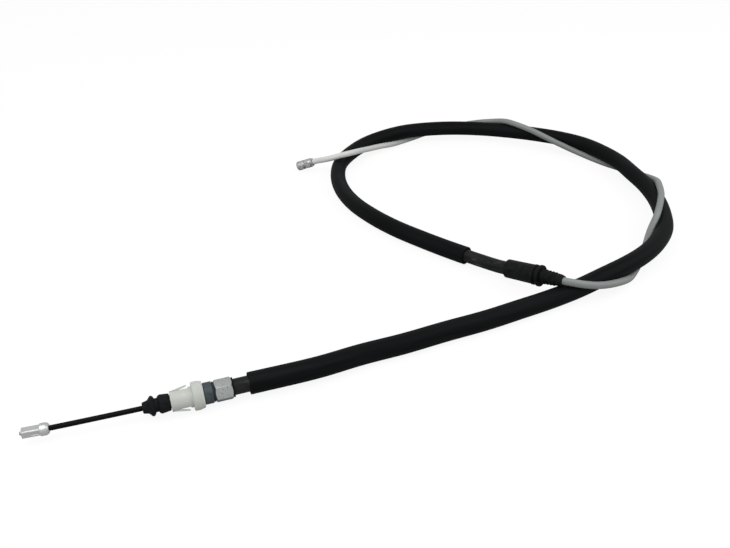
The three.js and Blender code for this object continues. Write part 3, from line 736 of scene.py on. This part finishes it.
def bar(name: str, outline: Sequence[tuple[float, float]], start: float,
        end: float) -> bpy.types.Object:
    """Makes a bar along the local X axis from an outline across it.

    Args:
        name: the piece's name.
        outline: its [y, z] corners.
        start: where it begins.
        end: where it ends.

    Returns:
        The new piece, still in its axis's frame.
    """
    return block_mesh(name, [(x, y, z) for x in (start, end) for y, z in outline])


def settled(obj: bpy.types.Object) -> bpy.types.Object:
    """Applies a piece's modifiers to its mesh."""
    depsgraph = bpy.context.evaluated_depsgraph_get()
    mesh = bpy.data.meshes.new_from_object(obj.evaluated_get(depsgraph))
    obj.modifiers.clear()
    obj.data = mesh
    return obj


def carved(obj: bpy.types.Object, tools: Sequence[bpy.types.Object],
           keep: Cut = Cut.OUTSIDE) -> bpy.types.Object:
    """Cuts a piece with other solids, which are then removed.

    Args:
        obj: the piece.
        tools: the solids.
        keep: which part of the piece is left.

    Returns:
        The same piece.
    """
    for tool in tools:
        cut = obj.modifiers.new("cut", "BOOLEAN")
        cut.object, cut.operation, cut.solver = tool, keep.value, "EXACT"
        settled(obj)
        bpy.data.objects.remove(tool)
    return smooth(obj)


def eased(obj: bpy.types.Object, width: float, angle: float = 30.0) -> bpy.types.Object:
    """Rounds a piece's sharp edges a little, in its own units.

    Args:
        obj: the piece.
        width: width of the rounding.
        angle: edges that turn by fewer degrees are left.

    Returns:
        The same piece.
    """
    bevel = obj.modifiers.new("ease", "BEVEL")
    bevel.width, bevel.segments = width, 3
    bevel.limit_method, bevel.angle_limit = "ANGLE", math.radians(angle)
    bevel.use_clamp_overlap = True
    settled(obj)
    return smooth(obj, 40.0)


def joined(obj: bpy.types.Object, others: Sequence[bpy.types.Object]) -> bpy.types.Object:
    """Adds other pieces' shells to a piece's mesh, and removes them."""
    work = bmesh.new()
    work.from_mesh(obj.data)
    for other in others:
        work.from_mesh(other.data)
        bpy.data.objects.remove(other)
    work.to_mesh(obj.data)
    work.free()
    return smooth(obj)


def finish_piece(obj: bpy.types.Object, finish: Finish, slot: str, body: Body,
                 *nodes: str) -> bpy.types.Object:
    """Dresses a piece, seats it on its body, and lets it stand for its solids.

    Args:
        obj: the piece.
        finish: its finish.
        slot: the record's material slot; not used.
        body: the body that it rides on.
        nodes: the solids that it replaces.

    Returns:
        The same piece.
    """
    obj.data.materials.clear()
    obj.data.materials.append(finish.material())
    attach(obj, body.value)
    if nodes:
        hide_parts(*nodes)
    log.info("%s: %d faces, %s, on %s", obj.name, len(obj.data.polygons), finish.name, body.value)
    return obj


# ---------------------------------------------------------------------------
# Layout: the curves and axes that the cable lies along, in millimetres
# ---------------------------------------------------------------------------


@dataclass(frozen=True)
class Layout:
    """Where everything lies. The numbers repeat the solids' own, so each piece fits its solid.

    The winding's radius alone is 0.85 mm less, so that no floor shows between tail and sleeve.
    """

    brake: Axis = Axis((-122.0, -209.0, 10.1), 19.0)
    lever: Axis = Axis((83.0, -68.0, 12.4), -42.0, 10.3)
    nipple: Axis = Axis((-95.5, 158.5, 11.0554), 171.0, -19.5)
    straight_run: float = 50.0
    sleeve_radius: float = 8.0
    tail_radius: float = 3.1
    lift: float = 7.0
    wrap_radius: float = 10.95
    stub_shown: float = 59.4
    stub_bend: float = 1.9
    boot_lip: float = -72.9
    bellows_end: float = 53.1
    conduit_depth: float = 18.0
    sleeve_route: tuple = (
        (-43, -177, 0.1), (-11, -164, 0), (21, -150, 0), (55, -136, 0), (84, -122, 0),
        (111, -109, 0.04), (137, -96, 0.26), (162, -82, 0.64), (184, -69, 0.95), (203, -54, 1.03),
        (221, -34, 0.97), (237, -8, 0.9), (246, 23, 0.87), (250, 54, 0.87), (249, 84, 0.9),
        (244, 111, 0.95), (238, 139, 0.99), (227, 164, 1.02), (212, 188, 0.96), (190, 208, 0.85),
        (162, 223, 0.8), (131, 234, 0.8), (99, 241, 0.84), (67, 243, 0.9), (38, 240, 0.96),
        (10, 232, 1.02), (-14, 220, 0.9), (-36, 208, 0.42), (-53, 187, 0.15), (-65, 159, 0.03),
        (-67, 125, 0), (-61, 92, 0), (-49, 63, 0), (-31, 36, 0), (-10, 12, 0),
        (12, -8, 0), (33, -26, 0.04), (51, -41, 0.14),
    )
    tail_wrap: tuple = (
        (280, 56), (291, 29), (303, 6), (314, -12), (326, -32), (338, -59), (350, -84), (366, -109),
        (385, -136), (398, -157), (410, -181), (424, -212), (440, -235), (459, -257), (471, -271),
        (483, -283), (494, -296), (506, -319), (517, -341), (529, -360), (547, -386), (567, -415),
        (581, -435), (593, -451), (605, -466), (617, -482), (629, -498), (641, -515), (662, -543),
        (685, -578), (709, -616), (721, -645), (733, -673), (756, -702), (782, -732), (800, -752),
        (816, -772), (830, -794), (845, -815), (857, -834), (868, -853), (878, -869), (888, -881),
        (900, -894), (911, -908),
    )
    tail_free: tuple = (
        (-55.3, 159.4, 20.3), (-65.2, 154.4, 20.0), (-73.0, 152.9, 18.4), (-81.5, 153.9, 16.0),
    )
    wrap_step: float = 16.0
    nipple_lead: float = 4.0
    nipple_socket: float = 4.0
    nipple_length: float = 19.0

    def casing(self) -> Route:
        """Lays the sleeve and conduit's curve, from inside the boot to the tip of the bellows."""
        run = self.straight_run
        points = [self.brake.point(x) for x in (-2 * run, -run, 0.0, run)]
        points += [(x, y, self.sleeve_radius + lift * self.lift) for x, y, lift in self.sleeve_route]
        points += [self.lever.point(x) for x in (-9.0, 0.0, self.conduit_depth, self.bellows_end)]
        return Route(points)

    def tail(self, casing: Route) -> Route:
        """Lays the tail's curve: out of the bellows, round the sleeve and down to the nipple.

        Args:
            casing: the curve that it winds round.

        Returns:
            The tail's curve.
        """
        guide = Route([(s, angle, 0.0) for s, angle in self.tail_wrap])
        turns = math.ceil(guide.length / self.wrap_step)
        places, _ = guide.at(np.linspace(0.0, guide.length, turns + 1))
        centres, slopes = casing.at(places[:, 0] + 2 * self.straight_run)
        outward = np.cross(slopes, [0.0, 0.0, 1.0])
        outward /= np.linalg.norm(outward, axis=1)[:, None]
        upward = np.cross(outward, slopes)
        angle = np.radians(places[:, 1])[:, None]
        wound = centres + self.wrap_radius * (np.cos(angle) * outward + np.sin(angle) * upward)
        points = [self.lever.point(self.bellows_end + x) for x in (-12.0, -6.0, 0.0)]
        points += [*wound, *self.tail_free]
        points += [self.nipple.point(x) for x in
                   (-self.nipple_lead, 0.0, self.nipple_socket, self.nipple_length)]
        return Route(points)

    def block(self) -> Axis:
        """Gives the axis of the square end block, where the bent stub ends."""
        lip = self.brake.point(self.boot_lip)
        heading = self.brake.heading - self.stub_bend
        h = math.radians(heading)
        nose = lip - self.stub_shown * np.array([math.cos(h), math.sin(h), 0.0])
        return Axis(tuple(nose), heading - self.stub_bend)


# ---------------------------------------------------------------------------
# Sub-assemblies
# ---------------------------------------------------------------------------


@dataclass
class Studio:
    """A white floor, soft lamps, and the camera at the photograph's angle."""

    camera_place: tuple[float, float, float] = (-0.0395, -0.609, 0.360)
    pitch_down: float = 33.0
    roll: float = -0.8
    lens_mm: float = 36.99
    floor_size: float = 9.0
    world_light: float = 0.62

    def build(self) -> None:
        """Sets the view transform and makes the studio's pieces."""
        bpy.context.scene.view_settings.view_transform = "Standard"
        self.camera()
        self.world()
        self.floor()
        self.lamp("key_lamp", (-0.35, -0.55, 1.25), 1.1, 9.0)
        self.lamp("side_lamp", (1.1, -0.1, 0.9), 0.9, 4.0)
        log.info("studio: camera, world, floor and lamps")

    def camera(self) -> None:
        """Makes the camera. Its lens is for a 36 mm sensor as wide as the frame."""
        camera = bpy.data.cameras.new("camera")
        camera.lens, camera.sensor_width, camera.sensor_fit = self.lens_mm, 36.0, "HORIZONTAL"
        camera.clip_end = 30.0
        obj = bpy.data.objects.new("camera", camera)
        bpy.context.scene.collection.objects.link(obj)
        tilt = Matrix.Rotation(math.radians(90.0 - self.pitch_down), 4, "X")
        roll = Matrix.Rotation(math.radians(self.roll), 4, "Z")
        obj.matrix_world = Matrix.Translation(self.camera_place) @ tilt @ roll
        bpy.context.scene.camera = obj

    def world(self) -> None:
        """Makes a world that is white to look at and lights the cable at a plain level."""
        world = bpy.data.worlds.new("studio_world")
        world.use_nodes = True
        bpy.context.scene.world = world
        tree = world.node_tree
        tree.nodes.clear()
        light = add_node(tree, "ShaderNodeBackground", {
            "Color": (1.0, 1.0, 1.0, 1.0), "Strength": self.world_light,
        })
        white = add_node(tree, "ShaderNodeBackground", {"Color": (1.0, 1.0, 1.0, 1.0), "Strength": 1.0})
        eye = add_node(tree, "ShaderNodeLightPath").outputs["Is Camera Ray"]
        mix = add_node(tree, "ShaderNodeMixShader", {0: eye, 1: light.outputs[0], 2: white.outputs[0]})
        add_node(tree, "ShaderNodeOutputWorld", {"Surface": mix.outputs[0]})

    def floor(self) -> None:
        """Makes the white floor. A little light of its own, only to the eye, keeps it white."""
        half = self.floor_size / 2
        mesh = bpy.data.meshes.new("studio_floor")
        mesh.from_pydata([(-half, -half, -0.0001), (half, -half, -0.0001),
                          (half, half, -0.0001), (-half, half, -0.0001)], [], [(0, 1, 2, 3)])
        obj = bpy.data.objects.new("studio_floor", mesh)
        bpy.context.scene.collection.objects.link(obj)
        material = bpy.data.materials.new("painted_white_floor")
        material.use_nodes = True
        tree = material.node_tree
        tree.nodes.clear()
        paint = add_node(tree, "ShaderNodeBsdfDiffuse", {"Color": linear("#b4b4b4")})
        faint = add_node(tree, "ShaderNodeBsdfDiffuse", {"Color": linear("#5c5c5c")})
        glow = add_node(tree, "ShaderNodeEmission", {"Strength": 0.9})
        both = add_node(tree, "ShaderNodeAddShader", {0: faint.outputs[0], 1: glow.outputs[0]})
        eye = add_node(tree, "ShaderNodeLightPath").outputs["Is Camera Ray"]
        mix = add_node(tree, "ShaderNodeMixShader", {0: eye, 1: paint.outputs[0], 2: both.outputs[0]})
        add_node(tree, "ShaderNodeOutputMaterial", {"Surface": mix.outputs[0]})
        obj.data.materials.append(material)

    def lamp(self, name: str, place: tuple[float, float, float], size: float, power: float) -> None:
        """Makes a square soft lamp that faces the middle of the loop.

        Args:
            name: its name.
            place: where it is, in metres.
            size: its side, in metres.
            power: its power, in watts.
        """
        lamp = bpy.data.lights.new(name, "AREA")
        lamp.size, lamp.energy = size, power
        obj = bpy.data.objects.new(name, lamp)
        bpy.context.scene.collection.objects.link(obj)
        away = Vector(place).normalized()
        obj.matrix_world = Matrix.Translation(place) @ away.to_track_quat("Z", "Y").to_matrix().to_4x4()


@dataclass
class Casing:
    """The protective sleeve, the conduit inside it, and what the conduit hides."""

    layout: Layout
    route: Route
    sleeve_radius: float = 8.0
    sleeve_wall: float = 1.5
    conduit_radius: float = 5.8
    conduit_wall: float = 0.95
    conduit_start: float = -22.4
    rim: float = 0.45
    step: float = 2.5

    def __post_init__(self) -> None:
        """Works out where the sleeve and the conduit start and end."""
        self.zero = 2 * self.layout.straight_run
        last = 3 + len(self.layout.sleeve_route)
        self.sleeve_end = self.route.knot(last)
        self.mouth = self.route.knot(last + 2)

    def build(self) -> bpy.types.Object:
        """Makes the sleeve and the conduit's jacket, and finishes the hidden layers.

        Returns:
            The sleeve.
        """
        sleeve = swept("sleeve_of_polyethylene", self.route, tube_profile(
            self.zero, self.sleeve_end, self.sleeve_radius, self.sleeve_radius - self.sleeve_wall,
            self.rim, self.step), sides=48)
        finish_piece(sleeve, SLEEVE, "sleeve_plastic", Body.CASING, "protective_sleeve")
        jacket = swept("conduit_outer_jacket", self.route, tube_profile(
            self.zero + self.conduit_start, self.mouth + self.layout.conduit_depth,
            self.conduit_radius, self.conduit_radius - self.conduit_wall, 0.3, self.step), sides=32)
        finish_piece(jacket, JACKET, "black_plastic", Body.CASING, "conduit_jacket")
        for node, finish in (("conduit_armour", ROPE_WIRE), ("conduit_liner", LINER),
                             ("inner_rope", ROPE_WIRE), ("conduit_crimp", ZINC_PLATE)):
            self.refinish(node, finish)
        return sleeve

    def refinish(self, node: str, finish: Finish) -> None:
        """Gives a hidden solid that stays as it is its procedural material."""
        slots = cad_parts[node].data.materials
        for i in range(len(slots)):
            slots[i] = finish.material()

    def declare(self) -> None:
        """Works out points along the sleeve every 4 mm, up to its end.
        """
        stations = np.arange(self.zero, self.sleeve_end, 4.0)
        points, _ = self.route.at([*stations, self.sleeve_end])


@dataclass
class BrakeEnd:
    """The fittings beside the sleeve's start, and the coated stub with its square block."""

    layout: Layout
    thin_ring_radius: float = 7.1
    thin_ring_length: float = 0.9
    gap: float = 0.3
    rear_ring_x: float = -10.7
    hex_across_flats: float = 14.3
    hex_length: float = 12.1
    hex_turn: float = 52.7
    socket_radius: float = 6.15
    socket_depth: float = 10.8
    neck_radius: float = 4.5
    neck_bore: float = 3.8
    seat_radius: float = 4.8
    spacer_radius: float = 7.65
    spacer_length: float = 6.0
    clip_radius: float = 7.25
    clip_length: float = 14.8
    flange_radius: float = 10.1
    flange_length: float = 7.5
    finger_width: float = 6.0
    finger_length: float = 11.4
    finger_thickness: float = 1.1
    finger_rise: float = 1.8
    finger_root: float = 4.0
    slot_depth: float = 0.9
    clip_turn: float = 49.0
    boot_radius: float = 6.65
    boot_seat: float = 5.5
    barrel_length: float = 8.2
    waist_length: float = 2.0
    bead_length: float = 4.1
    lip_length: float = 4.2
    bead_radius: float = 7.05
    groove_radius: float = 4.8
    lip_radius: float = 3.95
    coat_radius: float = 1.85
    rope_radius: float = 1.25
    block_width: float = 5.6
    block_shank: float = 11.4
    head_radius: float = 4.3
    head_length: float = 3.2
    nose_radius: float = 2.9
    nose_length: float = 2.5
    pocket: tuple[float, float, float] = (5.2, 2.6, 0.5)
    rope_proud: float = 1.6

    def __post_init__(self) -> None:
        """Works out the places along the brake end's axis, where x = 0 is the sleeve's end face."""
        self.hex_right = self.rear_ring_x - self.thin_ring_length - self.gap
        self.hex_left = self.hex_right - self.hex_length
        self.front_seal_x = self.hex_left - self.gap
        self.spacer_x = self.front_seal_x - self.thin_ring_length - self.gap
        self.clip_right = self.spacer_x - self.spacer_length - self.gap
        self.clip_face = self.clip_right - self.flange_length
        self.clip_left = self.clip_face - self.clip_length
        self.boot_right = self.clip_left - self.gap
        self.neck_left = self.boot_right - self.boot_seat

    def build(self) -> None:
        """Makes every piece of the brake end."""
        self.seals()
        self.hex()
        self.spacer()
        self.clip()
        self.boot()
        self.stub()
        self.block()

    def fixed(self, obj: bpy.types.Object, finish: Finish, slot: str, node: str) -> bpy.types.Object:
        """Places a piece on the brake end's axis and finishes it as part of the casing."""
        return finish_piece(self.layout.brake.place(obj), finish, slot, Body.CASING, node)

    def seals(self) -> None:
        """Turns the thin rubber rings on both sides of the hex. The rear one is a black ring put where the
        hex's chamfered end lies in shade: a painted shade.
        """
        for name, x, bore, finish, node in (
            # Painted shade: the rear ring's black stands where the hex's chamfered rear end lies in shade.
            ("dark_ring_at_hex_shade", self.rear_ring_x, self.socket_radius, RUBBER, "rear_seal_ring"),
            ("seal_ring_front", self.front_seal_x, self.seat_radius, GREY_NITRILE, "front_seal_ring"),
        ):
            ring = turned(name, rounded([
                (x - self.thin_ring_length, bore), (x - self.thin_ring_length, self.thin_ring_radius),
                (x, self.thin_ring_radius), (x, bore)], 0.32))
            self.fixed(ring, finish, "black_rubber", node)

    def hex(self) -> None:
        """Cuts the plated hex from a chamfered round blank, with the neck in front of it."""
        corner = self.hex_across_flats / math.sqrt(3)
        flat = self.hex_across_flats / 2
        left, right = self.hex_left, self.hex_right
        blank = turned("hex_of_plated_steel", [
            (left, self.neck_bore), (left, flat - 0.2), (left + 0.9, corner + 0.05),
            (right - 0.9, corner + 0.05), (right, flat - 0.2), (right, self.socket_radius),
            (right - self.socket_depth, self.socket_radius),
            (right - self.socket_depth, self.neck_bore)], 96)
        angles = [math.radians(self.hex_turn + 30 + 60 * i) for i in range(6)]
        outline = [(corner * math.sin(a), corner * math.cos(a)) for a in angles]
        body = carved(blank, [bar("hexagon", outline, left - 1, right + 1)], Cut.SHARED)
        eased(body, 0.22, 24.0)
        neck = turned("neck", rounded([
            (self.neck_left, self.neck_bore), (self.neck_left, self.neck_radius),
            (left + 0.6, self.neck_radius), (left + 0.6, self.neck_bore)], 0.3))
        joined(body, [neck])
        self.fixed(body, ZINC_PLATE, "zinc_plated_steel", "hex_ferrule")

    def spacer(self) -> None:
        """Turns the slate spacer."""
        end = self.spacer_x - self.spacer_length
        spacer = turned("spacer_of_acetal", rounded([
            (end, self.seat_radius), (end, self.spacer_radius),
            (self.spacer_x, self.spacer_radius), (self.spacer_x, self.seat_radius)], 0.35))
        self.fixed(spacer, SLATE_ACETAL, "slate_plastic", "spacer_sleeve")

    def clip(self) -> None:
        """Moulds the pale clip: a flanged body with two sprung fingers over their slots."""
        left, face, right = self.clip_left, self.clip_face, self.clip_right
        body = turned("clip_of_nylon", rounded([
            (left, self.seat_radius), (left, self.clip_radius), (face, self.clip_radius),
            (face, self.flange_radius - 0.5), (face + 0.8, self.flange_radius),
            (face + self.flange_length * 0.5, self.flange_radius),
            (right, self.flange_radius - 0.8), (right, self.seat_radius)], 0.45), 96)
        root = left + 0.5
        tip = root + self.finger_length
        slot_x = root + self.finger_root
        floor = self.clip_radius - self.slot_depth
        slots, fingers = [], []
        for turn in (0.0, 180.0):
            angle = self.clip_turn - 90 + turn
            length = tip - slot_x + self.slot_depth
            slots.append(prism("slot", [
                (slot_x, floor), (slot_x + length, floor), (slot_x + length, floor + 4),
                (slot_x, floor + 4)], self.finger_width + 0.6, angle))
            finger = prism("finger", [
                (root, floor - 0.4), (slot_x + self.gap, floor - 0.4), (slot_x + self.gap + 0.4, floor),
                (tip, self.clip_radius + self.finger_rise - self.finger_thickness),
                (tip, self.clip_radius + self.finger_rise), (root, self.clip_radius - 0.2)],
                self.finger_width, angle)
            fingers.append(eased(finger, 0.3))
        carved(body, slots)
        eased(body, 0.16, 50.0)
        joined(body, fingers)
        self.fixed(body, NATURAL_NYLON, "natural_nylon", "snap_clip")

    def boot(self) -> None:
        """Turns the rubber boot: barrel, waist, bead and lip, open inside."""
        right = self.boot_right
        groove = right - self.barrel_length
        bead = groove - self.waist_length
        lip = bead - self.bead_length
        end = lip - self.lip_length
        lip_bore = self.coat_radius + 0.35
        boot = turned("boot_of_rubber", rounded([
            (end, lip_bore), (end, self.lip_radius - 0.3), (end + 0.7, self.lip_radius),
            (lip - 0.6, self.lip_radius + 0.6), (lip + 0.6, self.bead_radius - 1.2),
            (lip + 1.5, self.bead_radius), (bead - 1.2, self.bead_radius),
            (bead - 0.2, self.bead_radius - 1.2), (bead, self.groove_radius),
            (groove, self.groove_radius), (groove + 0.4, self.boot_radius - 0.9),
            (groove + 1.6, self.boot_radius), (right - 1, self.boot_radius - 0.6),
            (right, self.boot_radius - 1), (right, self.seat_radius),
            (self.neck_left - self.gap, self.seat_radius),
            (self.neck_left - self.gap, self.groove_radius - 1.2),
            (lip - 1, self.groove_radius - 1.2), (lip - 1, lip_bore)], 0.7), 80)
        self.fixed(boot, RUBBER, "black_rubber", "dust_boot")

    def stub(self) -> None:
        """Sweeps the coat, and lays six strands round a core for the rope in it."""
        block = self.layout.block()
        brake = self.layout.brake
        lip = brake.point(self.layout.boot_lip)
        end = -self.nose_length - self.head_length - self.block_shank - self.rope_proud
        route = Route([block.point(end), block.point(0), lip,
                       brake.point(self.layout.boot_lip + self.lip_length), brake.point(-6.0)])
        coat = swept("coat_on_stub", route, tube_profile(
            route.knot(1) + self.gap, route.length, self.coat_radius, self.rope_radius + self.gap,
            0.25, 1.5), 32)
        finish_piece(coat, COAT, "black_plastic", Body.BRAKE_END, "brake_end_coat")
        rope = self.strands("rope_in_stub", route)
        finish_piece(rope, ROPE_WIRE, "steel_rope", Body.BRAKE_END, "brake_end_rope")

    def strands(self, name: str, route: Route, lay_length: float = 16.0) -> bpy.types.Object:
        """Lays six strands round a core strand along a route.

        Args:
            name: the piece's name.
            route: the rope's centreline.
            lay_length: how far a strand goes in one turn, in millimetres.

        Returns:
            The rope.
        """
        strand = self.rope_radius / 3
        stations = np.arange(0.3, route.length - 0.2, 0.8)
        points, across, up = route.frames(stations)
        ropes = []
        for index in range(7):
            reach = 0.0 if index == 6 else 2 * strand
            angle = 2 * math.pi * (stations / lay_length + index / 6)
            centres = points + reach * (np.cos(angle)[:, None] * across + np.sin(angle)[:, None] * up)
            line = Route(centres)
            ropes.append(swept(f"{name}_{index}", line, divided(rounded([
                (0.0, 0.02), (0.0, strand * 0.98), (line.length, strand * 0.98),
                (line.length, 0.02)], 0.1, 2), 1.2), 10))
        rope = ropes[0]
        rope.name = name
        return joined(rope, ropes[1:])

    def block(self) -> None:
        """Casts the end block: a square shank with a pocket each side, a round head and a cone."""
        head_x = -self.nose_length
        shank_x = head_x - self.head_length
        left = shank_x - self.block_shank
        bore = self.rope_radius + self.gap
        half = self.block_width / 2
        cut = half - 0.5
        outline = [(half, -cut), (half, cut), (cut, half), (-cut, half),
                   (-half, cut), (-half, -cut), (-cut, -half), (cut, -half)]
        shank = bar("block_of_cast_zinc", outline, left, shank_x + 0.6)
        length, width, depth = self.pocket
        tools = []
        for side in (-1, 1):
            start = shank_x - length - 0.5
            tools.append(prism("pocket", [
                (start, -width / 2), (start + length, -width / 2),
                (start + length, width / 2), (start, width / 2)], 2 * depth))
            tools[-1].data.transform(Matrix.Translation((0.0, side * half, 0.0)))
        tools.append(turned("bore", [(left - 1, 0.01), (left - 1, bore), (1, bore), (1, 0.01)], 32))
        carved(shank, tools)
        eased(shank, 0.22)
        head = turned("head", rounded([
            (shank_x, bore), (shank_x, self.head_radius), (head_x, self.head_radius),
            (head_x / 2, (self.head_radius + self.nose_radius) / 2 + 0.45),
            (0.0, self.nose_radius), (0.0, bore)], 0.5), 64)
        joined(shank, [head])
        self.layout.block().place(shank)
        finish_piece(shank, DIE_CAST, "die_cast_zinc", Body.BRAKE_END, "brake_end_block")


@dataclass
class LeverEnd:
    """The housing where the conduit ends, with its bracket groove, ring and ribbed nose."""

    layout: Layout
    radius: float = 8.0
    rim_radius: float = 8.65
    rim_length: float = 2.0
    length: float = 27.8
    groove_radius: float = 6.5
    groove_end: float = 30.3
    spigot_radius: float = 4.6
    spigot_end: float = 37.9
    spigot_bore: float = 3.8
    socket_radius: float = 6.15
    chamber_radius: float = 7.55
    chamber_start: float = 3.0
    chamber_end: float = 18.3
    ring_radius: float = 9.1
    ring_x: float = 30.6
    ring_length: float = 2.2
    bellows_x: float = 33.1
    bellows_radius: float = 5.7
    ribs_x: float = 35.3
    ribs: int = 4
    rib_pitch: float = 2.9
    rib_height: float = 0.95
    waist_radius: float = 4.7
    nose_radius: float = 5.2
    tip_radius: float = 4.1
    nose_length: float = 3.6
    tip_length: float = 2.6
    dimple_x: float = 8.1
    dimple_radius: float = 1.05
    dimple_depth: float = 0.4
    dimple_turn: float = -19.0

    def build(self) -> list[bpy.types.Object]:
        """Makes the lever end's pieces.

        Returns:
            The housing, ring and bellows.
        """
        return [self.housing(), self.ring(), self.bellows()]

    def fixed(self, obj: bpy.types.Object, finish: Finish, slot: str, node: str) -> bpy.types.Object:
        """Places a piece on the lever end's axis and finishes it as part of the casing."""
        return finish_piece(self.layout.lever.place(obj), finish, slot, Body.CASING, node)

    def housing(self) -> bpy.types.Object:
        """Turns the tapered housing, and sinks the small dimple in its side."""
        rim_x = self.length - self.rim_length
        body = turned("housing_of_polyamide", rounded([
            (0.0, self.socket_radius), (0.0, self.radius), (rim_x, self.rim_radius - 0.4),
            (rim_x, self.rim_radius), (self.length, self.rim_radius), (self.length, self.groove_radius),
            (self.groove_end, self.groove_radius), (self.groove_end, self.spigot_radius),
            (self.spigot_end, self.spigot_radius), (self.spigot_end, self.spigot_bore),
            (self.chamber_end, self.spigot_bore), (self.chamber_end, self.chamber_radius),
            (self.chamber_start, self.chamber_radius), (self.chamber_start, self.socket_radius)],
            0.5), 96)
        surface = self.radius + (self.rim_radius - 0.4 - self.radius) * self.dimple_x / rim_x
        dimple = turned("dimple", [
            (-self.dimple_depth, 0.01), (-self.dimple_depth, self.dimple_radius * 0.7),
            (self.dimple_depth, self.dimple_radius * 1.25), (self.dimple_depth, 0.01)], 32)
        place = Matrix.Rotation(math.radians(self.dimple_turn), 4, "X")
        place = place @ Matrix.Translation((self.dimple_x, -surface, 0.0))
        dimple.data.transform(place @ Matrix.Rotation(math.radians(-90), 4, "Z"))
        carved(body, [dimple])
        return self.fixed(body, MOULDED_BLACK, "black_plastic", "lever_end_housing")

    def ring(self) -> bpy.types.Object:
        """Turns the ring beyond the bracket groove."""
        end = self.ring_x + self.ring_length
        bore = self.spigot_radius + 0.3
        ring = turned("ring_of_polyamide", rounded([
            (self.ring_x, bore), (self.ring_x, self.ring_radius), (end, self.ring_radius),
            (end, bore)], 0.6), 80)
        return self.fixed(ring, MOULDED_BLACK, "black_plastic", "retaining_ring")

    def bellows(self) -> bpy.types.Object:
        """Turns the ribbed rubber nose that the tail comes out of."""
        nose_x = self.ribs_x + self.ribs * self.rib_pitch
        tip_x = nose_x + self.nose_length
        end = tip_x + self.tip_length
        seat = self.spigot_radius + 0.3
        bore = self.layout.tail_radius + 0.35
        outside: Profile = [(self.bellows_x, self.bellows_radius), (self.ribs_x, self.bellows_radius - 0.3)]
        for rib in range(self.ribs):
            crest = self.ribs_x + (rib + 0.5) * self.rib_pitch
            share = (crest - self.ribs_x) / (nose_x - self.ribs_x)
            valley = self.bellows_radius - 0.3 + (self.waist_radius - self.bellows_radius + 0.3) * share
            for offset, rise in ((-0.3, -0.1), (-0.12, 1.0), (0.12, 1.0), (0.3, -0.1)):
                outside.append((crest + offset * self.rib_pitch, valley + rise * self.rib_height))
        outside += [(nose_x, self.waist_radius), (nose_x + 0.6, self.nose_radius),
                    (tip_x, self.nose_radius - 0.3), (end, self.tip_radius)]
        profile = [(self.bellows_x, seat), *outside, (end, bore), (nose_x, bore), (self.spigot_end, seat)]
        bellows = turned("bellows_of_rubber", rounded(profile, 0.5), 80)
        return self.fixed(bellows, RUBBER, "black_rubber", "lever_end_bellows")


@dataclass
class Tail:
    """The grey sheathed tail, wound round the sleeve, and the nipple on its end."""

    layout: Layout
    route: Route
    wall: float = 1.35
    rim: float = 0.4
    step: float = 1.5
    radius: float = 5.0
    shoulder_radius: float = 4.3
    shoulder: float = 2.2
    groove_width: float = 1.6
    groove_depth: float = 0.7
    recess_radius: float = 3.2
    recess: float = 1.6
    rope_bore: float = 1.55
    nose_length: float = 1.7

    def build(self) -> None:
        last = len(self.route.points) - 1
        nipple_at = self.route.knot(last - 2)
        start = self.route.knot(1)
        end = nipple_at + self.layout.nipple_socket - 0.3
        sheath = swept("sheath_of_tail", self.route, tube_profile(
            start, end, self.layout.tail_radius, self.layout.tail_radius - self.wall, self.rim,
            self.step), sides=36)
        finish_piece(sheath, GREY_SHEATH, "grey_sheath", Body.CASING, "tail_sheath")
        nipple = self.nipple()
        tip = self.route.knot(2)
        points, _ = self.route.at([*np.arange(start, end, 3.0), end])
        leaves, _ = self.route.at([tip])

    def nipple(self) -> bpy.types.Object:
        """Casts the nipple, with its shoulder, its middle groove and the recess in its free end."""
        length = self.layout.nipple_length
        middle = length / 2
        bore = self.layout.tail_radius + 0.35
        groove = self.radius - self.groove_depth
        nipple = turned("nipple_of_cast_zinc", rounded([
            (0.0, bore), (0.0, self.shoulder_radius), (self.shoulder, self.shoulder_radius),
            (self.shoulder, self.radius), (middle - self.groove_width / 2, self.radius),
            (middle - self.groove_width / 2, groove), (middle + self.groove_width / 2, groove),
            (middle + self.groove_width / 2, self.radius), (length - self.nose_length, self.radius),
            (length - 0.5, self.radius - 0.7), (length, self.recess_radius + 0.3),
            (length, self.recess_radius),
            (length - self.recess, self.recess_radius), (length - self.recess, self.rope_bore),
            (self.layout.nipple_socket, self.rope_bore), (self.layout.nipple_socket, bore)], 0.3), 72)
        self.layout.nipple.place(nipple)
        return finish_piece(nipple, PATCHED_ZINC, "die_cast_zinc", Body.CASING, "tail_nipple")


def main() -> None:
    """Builds the studio and the cable's sub-assemblies in order."""
    logging.basicConfig(level=logging.INFO, format="%(name)s: %(message)s")
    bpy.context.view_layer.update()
    Studio().build()
    layout = Layout()
    casing_route = layout.casing()
    tail_route = layout.tail(casing_route)
    log.info("routes: casing %.1f mm, tail %.1f mm", casing_route.length, tail_route.length)
    casing = Casing(layout, casing_route)
    sleeve = casing.build()
    BrakeEnd(layout).build()
    fittings = LeverEnd(layout).build()
    Tail(layout, tail_route).build()
    casing.declare()


if __name__ == "__main__":
    main()
